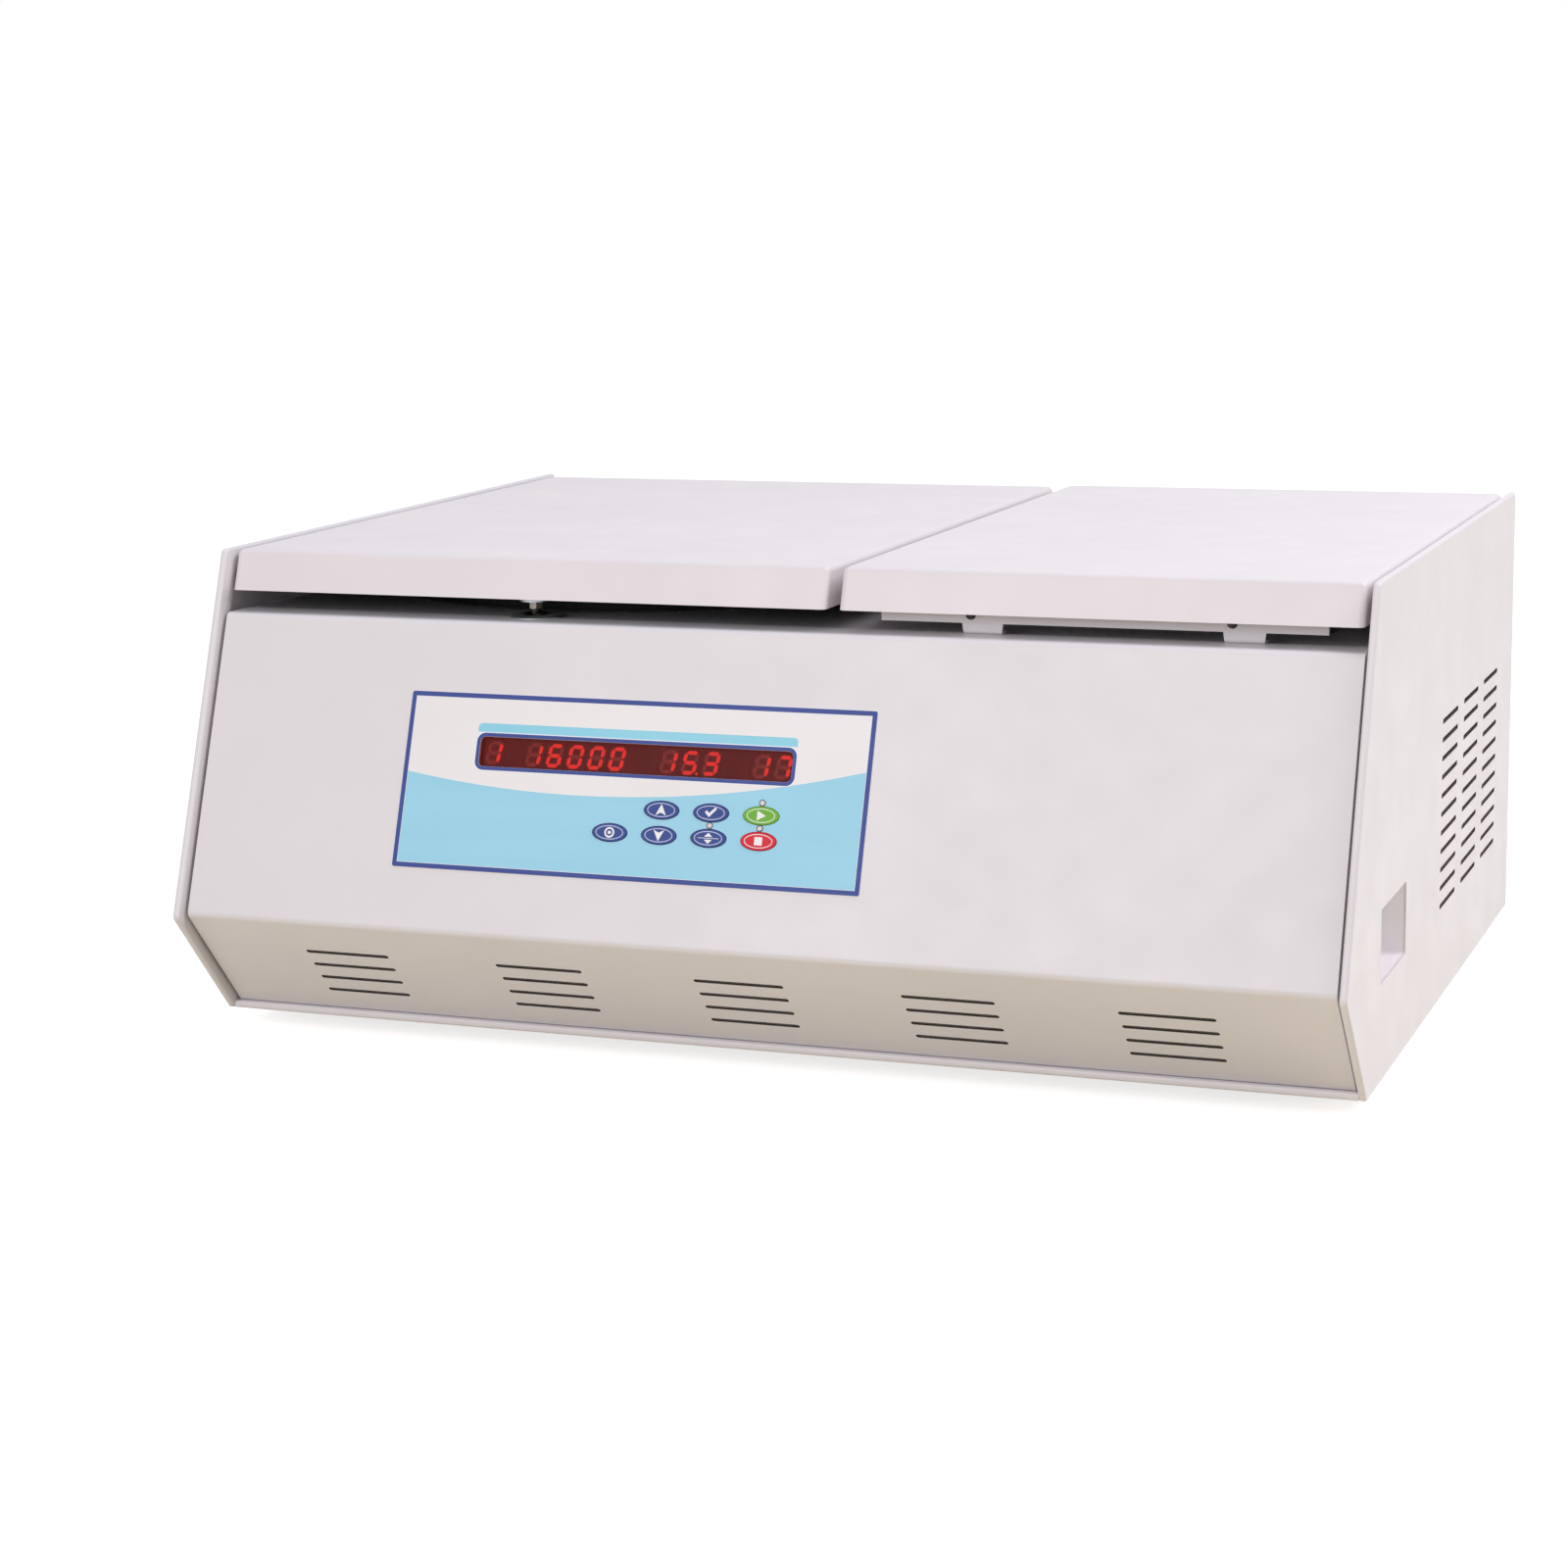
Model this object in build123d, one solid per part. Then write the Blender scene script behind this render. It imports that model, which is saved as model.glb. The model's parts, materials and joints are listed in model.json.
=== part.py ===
from build123d import *
import os
from math import asin, atan2, cos, degrees, hypot, radians, sin, tan

os.makedirs("parts", exist_ok=True)

# Refrigerated bench centrifuge for microplates. Millimetres, X to the right, Y to the back, Z up.
# The origin is on the bench, midway between the sides and between the knee line and the power switch.

# ---------------------------------------------------------------- cabinet
FOOT_HEIGHT = 12.0
KNEE_HEIGHT = 67.5       # side panels' knee above the underside
CHIN_SETBACK = 58.8      # lower front corner, behind the knee
BROW_SETBACK = 76.0      # upper front corner, behind the knee
DRIVE_ROOM = 120.6       # underside to the chamber's floor
CHAMBER_FRONT = 129.0    # knee to the chamber's rim
CHAMBER_BACK = 60.0      # chamber's rim to the rear face
SHEET = 1.5              # cabinet steel
BEND = 4.0               # outside radius of the large folds
FOLD = 2.2               # outside radius of the small folds
EDGE_FLANGE = 4.3        # thickness of a side panel's boxed edge
EDGE_ROUND = 1.6
EDGE_RETURN = 13.0       # depth of the boxed edge
SHADOW_GAP = 2.2         # beside the side panels' edges
FRONT_INSET = 6.0        # front panel behind the side panels' edges
SEAT = 0.2               # two sheets screwed together, face to face but for the paint
RETURN = 12.0            # folded-back edge of a sheet
PAN_WALL = 20.0          # upturned sides of the base pan
LIP_HEIGHT = 4.3         # front edge of the base pan, folded up and back

# ---------------------------------------------------------------- front panel
TOP_RETURN = 24.0        # upper edge, folded back over the deck
SLOT_LENGTH = 53.0       # air slots, front and side
SLOT_HEIGHT = 3.0
FRONT_GROUPS = 5
FRONT_GROUP_PITCH = 121.0
FRONT_ROWS = 4
FRONT_ROW_PITCH = 12.6
FRONT_FIRST_ROW = 28.5   # below the knee, along the slope

# ---------------------------------------------------------------- side panels
SIDE_COLUMNS = 3
SIDE_COLUMN_PITCH = 74.4
SIDE_FIRST_COLUMN = 302.8    # behind the knee
SIDE_ROWS = 11
SIDE_ROW_PITCH = 11.0
SIDE_FIRST_ROW = 167.0       # above the underside
HANDLE_SETBACK = 92.0        # front end of the grip opening, behind the knee
HANDLE_LENGTH = 74.0
HANDLE_BOTTOM = 55.2         # above the underside
HANDLE_HEIGHT = 41.5
HANDLE_DEPTH = 32.0
HANDLE_CORNER = 2.5
POCKET_WALL = 2.0
POCKET_RIM = 8.0

# ---------------------------------------------------------------- lid and machine cover
LID_DROP = 1.0           # lids below the side panels' top edge
LID_INSET = 8.0          # front faces behind the side panels' edges
LID_GAP = 12.4           # open gap between the front panel and the lids
LID_HEIGHT = 23.0        # skirts of lid and cover
LID_MARGIN = 9.5         # lid beyond the chamber's rim, left and right
COVER_WIDTH = 289.6
LID_SPLIT = 7.7          # between lid and cover
LID_EDGE = 3.5           # rounded edges
LID_REAR_GAP = 12.0      # ahead of the rear face
COVER_SIDE_GAP = 4.3     # beside the right side panel's edge
COVER_REAR_GAP = 2.0
LINER_SHEET = 1.0
LINER_PLAY = 0.3
RAIL_SETBACK = 88.5      # front cover rail, behind the knee
RAIL_DROP = 6.4          # rail below the cover's lower edge
RAIL_INSET = 20.8        # rail ends, inside the cover's sides
RAIL_FLANGE = 18.0
RAIL_REAR = 5.5          # rear cover rail, ahead of the rear face
TAB_WIDTH = 25.0
TAB_TAPER = 2.0          # at each side of a tab, towards its foot
TAB_PITCH = 145.0
TAB_SHIFT = 6.5          # tabs beside the rail's screws
TAB_FOOT = 10.0
SCREW_HEAD = 5.6
SCREW_HEAD_HEIGHT = 1.6
RAIL_SCREW_DROP = 1.6    # screw centres below the cover's lower edge

# ---------------------------------------------------------------- control overlay
OVERLAY_LEFT = 134.2     # from the left face
OVERLAY_RISE = 36.2      # above the knee, along the slope
OVERLAY_WIDTH = 281.0
OVERLAY_HEIGHT = 101.5
OVERLAY_THICKNESS = 0.5
OVERLAY_CORNER = 1.2
WINDOW_LEFT = 46.1       # from the overlay's left edge
WINDOW_RISE = 59.9       # from the overlay's lower edge
WINDOW_WIDTH = 188.9
WINDOW_HEIGHT = 17.2
WINDOW_CORNER = 3.0
WINDOW_PLAY = 0.15
FILTER_RIM = 4.0
FILTER_BACK = 1.5
DIGIT_WIDTH = 12.5       # half-inch seven-segment modules
DIGIT_HEIGHT = 19.0
DIGIT_DEPTH = 8.0
DIGIT_PITCH = 12.7
ROTOR_FIELD = 53.7       # middle of each field's first digit, from the overlay's left edge
SPEED_FIELD = 78.6
TEMPERATURE_FIELD = 160.6
TIME_FIELD = 215.9
ROTOR_DIGITS = 1
SPEED_DIGITS = 5
TEMPERATURE_DIGITS = 3
TIME_DIGITS = 2
KEY_LENGTH = 20.9
KEY_WIDTH = 10.15
KEY_PLAY = 0.3
KEY_PROUD = 0.6
KEY_TRAVEL = 0.5
KEY_FLANGE = 1.5         # ears behind the panel, at both ends of a key
KEY_FLANGE_THICKNESS = 1.0
KEY_STEM = 4.0
KEY_FIRST = 131.6        # leftmost key column, from the overlay's left edge
KEY_PITCH = 29.5
KEY_LOWER = 26.5         # lower row, above the overlay's lower edge
KEY_ROW_PITCH = 14.15
LIGHT_RADIUS = 1.5
LIGHT_PIPE = 1.0
LIGHT_UPPER = 47.7       # upper light, above the overlay's lower edge
BOARD_THICKNESS = 1.6
BOARD_MARGIN = 12.0
PILLAR_RADIUS = 3.0
KEY_SWITCH_WIDTH = 6.2
KEY_SWITCH_HEIGHT = 3.1

# ---------------------------------------------------------------- chamber
BOWL_WALL = 1.2
BOWL_DEPTH = 116.0
BOWL_COLLAR = 4.5        # upturned edge round the shaft hole
BOWL_CORNER = 22.0
BOWL_RIM = 16.0
SHAFT_HOLE = 24.0
BOOT_LIP = 11.0          # boot's upper lip beyond the shaft hole
BOOT_SEAT = 5.0          # width of its two seats
BOOT_WALL = 2.0
COIL_TUBE = 4.0          # outside radius of the evaporator tube
COIL_TURNS = 4
COIL_PITCH = 20.0
FOAM_WALL = 13.8         # beyond the evaporator tube
FOAM_FLOOR = 20.0
GASKET_WIDTH = 10.0

# ---------------------------------------------------------------- rotor
PIVOT_RISE = 71.0        # bucket pins above the bowl's floor
PIVOT_RADIUS = 68.0      # bucket pins from the shaft
ROTOR_CLEARANCE = 14.8   # widest sweep of the swinging buckets to the bowl
PLATE_LENGTH = 127.76    # standard microplate
PLATE_WIDTH = 85.48
PLATE_PLAY = 0.6
BUCKET_WALL = 2.0
BUCKET_FLOOR = 3.0
BUCKET_DEPTH = 30.0
BUCKET_DROP = 41.0       # underside of the bucket below its pins
BUCKET_CORNER = 4.0
EAR_THICKNESS = 4.0
EAR_WIDTH = 30.0
EAR_TOP = 9.0            # above the pin
EAR_BOTTOM = 20.0        # below the pin
PIN_RADIUS = 4.0
PIN_FIT = 0.05
PIN_COLLAR = 7.0
PIN_COLLAR_GAP = 0.6
ARM_GAP = 3.6            # bucket ear to rotor arm
ARM_THICKNESS = 8.0
ARM_HEIGHT = 18.0
ARM_OVERHANG = 11.0      # arm beyond the bucket pin
ARM_END = 14.0           # height of the arm at its ends
ARM_BEVEL = 8.0          # length of the bevels there
BRIDGE_WIDTH = 20.0      # where the cross bridge meets the arms
HUB_RADIUS = 18.0
HUB_HEIGHT = 34.0
SHAFT_RADIUS = 8.0
SHAFT_FIT = 0.03
SHAFT_STEP = 4.0         # shoulder under the hub
NUT_RADIUS = 13.0
NUT_HEIGHT = 14.0
NUT_CROWN = 3.0          # closed top of the nut
NUT_FLUTE = 3.0          # radius of its finger flats
NUT_FLUTES = 8
STUD_RADIUS = 5.0

# ---------------------------------------------------------------- drive
MOTOR_RADIUS = 62.0
MOTOR_HEIGHT = 42.0
MOTOR_PLATE = 6.0
MOTOR_PLATE_RADIUS = 98.0
MOTOR_PLATE_HEIGHT = 50.0    # underside of the plate above the base pan
POST_RADIUS = 8.0
POST_DISTANCE = 84.0
MOUNT_RADIUS = 12.0
MOUNT_HEIGHT = 14.0
SHIELD_HEIGHT = 20.0
BOSS_RADIUS = 21.0
BOSS_HEIGHT = 10.0
BEARING_RADIUS = 15.0
BEARING_HEIGHT = 9.0

# ---------------------------------------------------------------- hinges and lock
HINGE_SPREAD = 130.0     # hinges left and right of the lid's middle
HINGE_SETBACK = 5.0      # hinge axis ahead of the lid's rear edge
KNUCKLE_RADIUS = 4.2
KNUCKLE_LENGTH = 18.0
KNUCKLE_PLAY = 0.4
LEAF_LENGTH = 32.0
LEAF_THICKNESS = 1.5
HINGE_PIN_RADIUS = 2.5
HINGE_PIN_FIT = 0.05
STRIKER_SETBACK = 98.4   # striker pin behind the knee
STRIKER_RADIUS = 3.0
STRIKER_LENGTH = 30.0
STRIKER_NECK = 6.0       # length of the groove the lock holds
STRIKER_PLATE = 26.0
STRIKER_CLEARANCE = 2.5
LOCK_LENGTH = 60.0
LOCK_WIDTH = 34.0
LOCK_HEIGHT = 40.0
LOCK_NECK = 9.0          # radius of the lock's neck, through the deck
LOCK_COLLAR = 15.0
LOCK_COLLAR_HEIGHT = 2.5

# ---------------------------------------------------------------- machine space
BULKHEAD_GAP = 9.0       # bulkhead right of the lid's right edge
BULKHEAD_SETBACK = 80.0
SERVICE_WIDTH = 230.0
SERVICE_DEPTH = 330.0
CONDENSER_THICKNESS = 30.0
CONDENSER_LENGTH = 216.0
CONDENSER_HEIGHT = 168.0
CONDENSER_CORE = 22.0
CONDENSER_FINS = 24
CONDENSER_GAP = 8.0      # from the right side panel
FAN_RADIUS = 72.0
FAN_TIP = 3.0
FAN_HUB = 20.0
FAN_DEPTH = 16.0
FAN_BLADES = 5
COLLAR_DEPTH = 22.0
FAN_MOTOR_RADIUS = 30.0
FAN_MOTOR_LENGTH = 38.0
FAN_MOTOR_GAP = 8.0      # motor ahead of the collar
FAN_AXLE = 3.0
STRAP_WIDTH = 20.0
STRAP_FOOT = 6.0         # ends folded flat on the shroud
COMPRESSOR_SETBACK = 400.0
COMPRESSOR_RADIUS = 68.0
COMPRESSOR_HEIGHT = 160.0
COMPRESSOR_DOME = 28.0   # rounded ends of the can
COMPRESSOR_SEAM = 4.0
COMPRESSOR_BASE = 150.0
COMPRESSOR_FEET = 126.0  # between its grommets
COMPRESSOR_PLATE = 3.0
TERMINAL_COVER = 40.0    # width of the cover on the can's side
GROMMET_RADIUS = 9.0
GROMMET_HEIGHT = 12.0
PIPE_RADIUS = 4.0
POWER_BOARD_LENGTH = 170.0
POWER_BOARD_WIDTH = 100.0
POWER_BOARD_RISE = 10.0
POWER_BOARD_INSET = 8.0  # pillars from the board's edges
TRANSFORMER_LENGTH = 48.0
TRANSFORMER_WIDTH = 42.0
TRANSFORMER_HEIGHT = 38.0
SINK_LENGTH = 66.0       # heat sink
SINK_WIDTH = 32.0
SINK_HEIGHT = 30.0
SINK_BASE = 4.0
SINK_FINS = 6
SINK_FIN = 2.0
CAPACITOR_RADIUS = 9.0
CAPACITOR_HEIGHT = 30.0
CAPACITOR_PITCH = 24.0

# ---------------------------------------------------------------- rear panel
INLET_RISE = 45.0
INLET_INSET = 95.0       # middle of the inlet, from the right face
INLET_WIDTH = 27.0
INLET_HEIGHT = 19.5
INLET_WALL = 1.6
INLET_DEPTH = 20.0
SOCKET_DEPTH = 15.0
INLET_EAR = 11.0         # flange beyond the shell, left and right
INLET_RIM = 5.0          # flange higher than the shell
INLET_FLANGE = 2.0
INLET_CHAMFER = 4.5      # upper corners of the socket
BLADE_SPREAD = 7.0       # outer contact blades from the middle
BLADE_THICKNESS = 2.0
ROCKER_INSET = 150.0     # middle of the switch, from the right face
ROCKER_WIDTH = 13.0
ROCKER_REACH = 11.0      # the rocker's ends turn about its axle at this radius
ROCKER_WALL = 2.0
ROCKER_PLAY = 0.4
ROCKER_TILT = radians(10)    # either side of level
ROCKER_RISE = 2.3        # middle of the rocker above its axle
ROCKER_AXLE = 1.5        # radius
ROCKER_PROUD = 0.5       # level half of the rocker, above its frame
SWITCH_FLANGE = 1.5
SWITCH_DEPTH = 18.0
REAR_COLUMNS = 3
REAR_ROWS = 9

# ---------------------------------------------------------------- feet
FOOT_RADIUS = 20.0
FOOT_TAPER = 2.0
FOOT_INSET = 62.0
FRONT_FOOT = 128.0       # behind the knee
REAR_FOOT = 52.0         # ahead of the rear face

# ================================================================ places worked out from the sizes
ROCKER_OUT = SWITCH_FLANGE + ROCKER_PROUD - ROCKER_RISE      # rocker's axle behind the rear face
RAISED_END = asin(ROCKER_RISE * cos(ROCKER_TILT) / ROCKER_REACH) + 2 * ROCKER_TILT
SWITCH_OUT = ROCKER_OUT + ROCKER_REACH * sin(RAISED_END)     # raised end of the rocker
POCKET_HALF_LENGTH = PLATE_LENGTH / 2 + PLATE_PLAY
POCKET_HALF_WIDTH = PLATE_WIDTH / 2 + PLATE_PLAY
BUCKET_SWING = hypot(BUCKET_DROP, POCKET_HALF_WIDTH + BUCKET_WALL)     # lower edge round its pins
ROTOR_SWEEP = hypot(PIVOT_RADIUS + BUCKET_SWING, POCKET_HALF_LENGTH + BUCKET_WALL)
BOWL_RADIUS = ROTOR_SWEEP + ROTOR_CLEARANCE
FOAM_RADIUS = BOWL_RADIUS + BOWL_WALL + 2 * COIL_TUBE + FOAM_WALL
LID_WIDTH = 2 * (BOWL_RADIUS + BOWL_RIM + LID_MARGIN)
LIDS_WIDTH = LID_WIDTH + LID_SPLIT + COVER_WIDTH
WIDTH = EDGE_FLANGE + SHADOW_GAP + LIDS_WIDTH + COVER_SIDE_GAP + EDGE_FLANGE
LEFT, RIGHT = -WIDTH / 2, WIDTH / 2
DEPTH = CHAMBER_FRONT + 2 * (BOWL_RADIUS + BOWL_RIM) + CHAMBER_BACK
BODY_HEIGHT = DRIVE_ROOM + BOWL_DEPTH - BOWL_WALL + SHEET + SEAT + LID_GAP + LID_HEIGHT + LID_DROP
FRONT = -(DEPTH + SWITCH_OUT) / 2
REAR = FRONT + DEPTH
UNDERSIDE = FOOT_HEIGHT
TOP = UNDERSIDE + BODY_HEIGHT
FLOOR_TOP = UNDERSIDE + SHEET
CHIN = Vector(FRONT + CHIN_SETBACK, UNDERSIDE)
KNEE = Vector(FRONT, UNDERSIDE + KNEE_HEIGHT)
BROW = Vector(FRONT + BROW_SETBACK, TOP)
UP_SLOPE = (BROW - KNEE).normalized()        # along the upper front, as (y, z)
DOWN_SLOPE = (CHIN - KNEE).normalized()      # along the lower front
LEAN = atan2(BROW_SETBACK, BODY_HEIGHT - KNEE_HEIGHT)
PANEL_OUT = Vector(-UP_SLOPE.Y, UP_SLOPE.X)  # outward normal of the upper front
CHIN_OUT = Vector(DOWN_SLOPE.Y, -DOWN_SLOPE.X)
LID_TOP = TOP - LID_DROP
LID_BOTTOM = LID_TOP - LID_HEIGHT
LIP_TOP = UNDERSIDE + LIP_HEIGHT
PANEL_KNEE = KNEE - (PANEL_OUT + CHIN_OUT) * (FRONT_INSET / (1 + PANEL_OUT.dot(CHIN_OUT)))
PANEL_TOP = PANEL_KNEE + UP_SLOPE * ((LID_BOTTOM - LID_GAP - PANEL_KNEE.Y) / UP_SLOPE.Y)
PANEL_CHIN = PANEL_KNEE + DOWN_SLOPE * ((LIP_TOP + SEAT - PANEL_KNEE.Y) / DOWN_SLOPE.Y)
UPPER = Plane(origin=(0, PANEL_KNEE.X, PANEL_KNEE.Y), x_dir=(1, 0, 0), z_dir=(0, PANEL_OUT.X, PANEL_OUT.Y))
LOWER = Plane(origin=(0, PANEL_KNEE.X, PANEL_KNEE.Y), x_dir=(1, 0, 0), z_dir=(0, CHIN_OUT.X, CHIN_OUT.Y))

DECK_TOP = PANEL_TOP.Y - SHEET - SEAT
DECK_BOTTOM = DECK_TOP - SHEET
LID_LEFT = LEFT + EDGE_FLANGE + SHADOW_GAP
LID_RIGHT = LID_LEFT + LID_WIDTH
LID_REAR = REAR - LID_REAR_GAP
COVER_LEFT = LID_RIGHT + LID_SPLIT
COVER_RIGHT = COVER_LEFT + COVER_WIDTH
RAIL_LENGTH = COVER_WIDTH - 2 * RAIL_INSET
COVER_REAR = REAR - COVER_REAR_GAP

AXIS_X = (LID_LEFT + LID_RIGHT) / 2
AXIS_Y = FRONT + CHAMBER_FRONT + BOWL_RIM + BOWL_RADIUS
RIM_TOP = DECK_TOP + BOWL_WALL
BOWL_FLOOR = RIM_TOP - BOWL_DEPTH
FOAM_BOTTOM = BOWL_FLOOR - BOWL_WALL - FOAM_FLOOR
PIVOT_Z = BOWL_FLOOR + PIVOT_RISE
EAR_INSIDE = POCKET_HALF_LENGTH + BUCKET_WALL
EAR_OUTSIDE = EAR_INSIDE + EAR_THICKNESS
ARM_INSIDE = EAR_OUTSIDE + ARM_GAP
ARM_REACH = PIVOT_RADIUS + ARM_OVERHANG
HUB_BOTTOM = PIVOT_Z - HUB_HEIGHT / 2
HUB_TOP = PIVOT_Z + HUB_HEIGHT / 2

BOARD_FACE = SHEET + FILTER_BACK + SEAT + DIGIT_DEPTH    # control board behind the panel's outer face
PLATE_BOTTOM = FLOOR_TOP + MOTOR_PLATE_HEIGHT
PLATE_TOP = PLATE_BOTTOM + MOTOR_PLATE
BOSS_TOP = PLATE_TOP + SHIELD_HEIGHT + BOSS_HEIGHT
HINGE_Y = LID_REAR - HINGE_SETBACK
HINGE_Z = (DECK_TOP + LID_BOTTOM) / 2
STRIKER_Y = FRONT + STRIKER_SETBACK
BULKHEAD_X = LID_RIGHT + BULKHEAD_GAP
CONDENSER_X = RIGHT - SHEET - CONDENSER_GAP - CONDENSER_THICKNESS
CONDENSER_Y = FRONT + SIDE_FIRST_COLUMN + SIDE_COLUMN_PITCH * (SIDE_COLUMNS - 1) / 2
FAN_Z = FLOOR_TOP + CONDENSER_HEIGHT / 2
FAN_MOTOR_X = CONDENSER_X - COLLAR_DEPTH - FAN_MOTOR_GAP - FAN_MOTOR_LENGTH
COMPRESSOR_X = (BULKHEAD_X + FAN_MOTOR_X) / 2
INLET_X = RIGHT - INLET_INSET
ROCKER_X = RIGHT - ROCKER_INSET
DIGIT_GROUPS = (
    (ROTOR_FIELD, ROTOR_DIGITS), (SPEED_FIELD, SPEED_DIGITS),
    (TEMPERATURE_FIELD, TEMPERATURE_DIGITS), (TIME_FIELD, TIME_DIGITS),
)
KEYS = {
    "key_set_left": (0, 0), "key_down": (1, 0), "key_mode": (2, 0), "key_stop": (3, 0),
    "key_up": (1, 1), "key_set_right": (2, 1), "key_start": (3, 1),
}


# ================================================================ ways of making things
def along_x(face, start, end):
    """A profile drawn as (y, z), carried from one x to another."""
    return extrude(Plane.YZ.offset(start) * face, end - start)


def along_y(face, start, end):
    """A profile drawn as (x, z), carried from one y to another."""
    return extrude(Plane(origin=(0, end, 0), x_dir=(1, 0, 0), z_dir=(0, -1, 0)) * face, end - start)


def polygon(*points):
    return make_face(Polyline(*points, close=True))


def folded(points, radius, wall=SHEET, side=Side.RIGHT):
    """The section of a folded sheet: its outer line with rounded folds, given a wall on one side."""
    return make_face(offset(FilletPolyline(*points, radius=radius), amount=wall, side=side))


def cylinder(radius, bottom, top, x=0.0, y=0.0):
    return Pos(x, y, (bottom + top) / 2) * Cylinder(radius, top - bottom)


def block(x0, x1, y0, y1, z0, z1):
    return Pos((x0 + x1) / 2, (y0 + y1) / 2, (z0 + z1) / 2) * Box(x1 - x0, y1 - y0, z1 - z0)


def turned(*points):
    """A solid of revolution round the Z axis from an (r, z) outline."""
    return revolve(Plane.XZ * polygon(*points), Axis.Z)


def slots(columns, column_pitch, rows, row_pitch):
    """Flat sketch of air slots, its first column and top row at the origin."""
    one = SlotOverall(SLOT_LENGTH, SLOT_HEIGHT)
    spots = [(c * column_pitch, -r * row_pitch) for c in range(columns) for r in range(rows)]
    return Sketch() + [Pos(*spot) * one for spot in spots]


def group(solids):
    """Separate solids kept in one node."""
    return Compound(children=[piece for solid in solids for piece in solid.solids()])


# ================================================================ cabinet
def side_outline(inset, radius):
    """Outline of a side panel as (y, z), drawn in by an inset."""
    corners = [tuple(corner)[:2] for corner in (CHIN, KNEE, BROW)]
    face = polygon(*corners, (REAR, TOP), (REAR, UNDERSIDE))
    if inset:
        face = offset(face, -inset)
    return fillet(face.vertices(), radius)


def left_side_shell():
    """Side panel with a boxed edge all round: folded in, and folded back again behind itself."""
    outer = extrude(side_outline(0, BEND), EDGE_FLANGE)
    rims = outer.faces().sort_by(Axis.Z)
    outer = fillet(rims[0].edges() + rims[-1].edges(), EDGE_ROUND)
    box = extrude(side_outline(SHEET, BEND - SHEET), EDGE_FLANGE - 2 * SHEET)
    mouth = extrude(side_outline(EDGE_RETURN, FOLD), EDGE_FLANGE)
    return Plane.YZ.offset(LEFT) * (outer - Pos(0, 0, SHEET) * (box + mouth))


def grip_opening(grow, corner):
    """Outline of the hand hold on a side panel, as (y, z)."""
    middle = Pos(FRONT + HANDLE_SETBACK + HANDLE_LENGTH / 2, UNDERSIDE + HANDLE_BOTTOM + HANDLE_HEIGHT / 2)
    return middle * RectangleRounded(HANDLE_LENGTH + 2 * grow, HANDLE_HEIGHT + 2 * grow, corner)


def left_side_panel():
    return left_side_shell() - along_x(grip_opening(0, HANDLE_CORNER), LEFT - 1, LEFT + 2 * SHEET)


def right_side_panel():
    shell = mirror(left_side_panel(), about=Plane.YZ)
    vents = slots(SIDE_COLUMNS, SIDE_COLUMN_PITCH, SIDE_ROWS, SIDE_ROW_PITCH)
    vents = Pos(FRONT + SIDE_FIRST_COLUMN, UNDERSIDE + SIDE_FIRST_ROW) * vents
    return shell - along_x(vents, RIGHT - 2 * SHEET, RIGHT + 1)


def left_handle_pocket():
    """Moulded hand hold: a rounded box open to the side, with a rim behind the panel."""
    inside = LEFT + SHEET
    shell = along_x(grip_opening(POCKET_WALL, HANDLE_CORNER + POCKET_WALL), inside, LEFT + HANDLE_DEPTH)
    shell = fillet(shell.faces().sort_by(Axis.X)[-1].edges(), HANDLE_CORNER + POCKET_WALL - 0.1)
    shell += along_x(grip_opening(POCKET_RIM, HANDLE_CORNER + POCKET_RIM), inside, inside + POCKET_WALL)
    hollow = along_x(grip_opening(0, HANDLE_CORNER), LEFT, LEFT + HANDLE_DEPTH - POCKET_WALL)
    return shell - fillet(hollow.faces().sort_by(Axis.X)[-1].edges(), HANDLE_CORNER - 0.1)


def handle_pockets():
    pocket = left_handle_pocket()
    return group([pocket, mirror(pocket, about=Plane.YZ)])


def base_pan():
    """Tray between the side panels: a wall along each side, the front edge folded up and back."""
    side = LEFT + EDGE_FLANGE + SEAT
    wall_top = UNDERSIDE + PAN_WALL
    tray = [(side, wall_top), (side, UNDERSIDE), (-side, UNDERSIDE), (-side, wall_top)]
    tray = folded(tray, FOLD, side=Side.LEFT)
    lip_end = CHIN.X + FRONT_INSET + RETURN
    lip = [(lip_end + SHEET, UNDERSIDE), (CHIN.X, UNDERSIDE), (CHIN.X, LIP_TOP), (lip_end, LIP_TOP)]
    return along_y(tray, lip_end, REAR) + along_x(folded(lip, EDGE_ROUND), side, -side)


def front_panel():
    """One sheet from the base pan's lip over the knee and up to the deck, with its side edges folded back."""
    foot, head = PANEL_CHIN + Vector(RETURN, 0), PANEL_TOP + Vector(TOP_RETURN, 0)
    points = [tuple(p)[:2] for p in (foot, PANEL_CHIN, PANEL_KNEE, PANEL_TOP, head)]
    x0 = LEFT + EDGE_FLANGE + SHADOW_GAP
    sheet = along_x(folded(points, [FOLD, BEND, BEND]), x0, -x0)
    below_deck = PANEL_TOP - UP_SLOPE * RETURN
    cheek = folded([*points[1:3], tuple(below_deck)[:2]], [BEND], wall=RETURN)
    sheet += along_x(cheek, x0, x0 + SHEET) + along_x(cheek, -x0 - SHEET, -x0)
    first = -FRONT_GROUP_PITCH * (FRONT_GROUPS - 1) / 2
    vents = Pos(first, -FRONT_FIRST_ROW) * slots(FRONT_GROUPS, FRONT_GROUP_PITCH, FRONT_ROWS, FRONT_ROW_PITCH)
    sheet -= extrude(LOWER * vents, 2 * SHEET, both=True)
    sheet -= cylinder(LOCK_COLLAR + LINER_PLAY, DECK_TOP, LID_BOTTOM, AXIS_X, STRIKER_Y)
    return sheet - overlay_openings()


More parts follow.
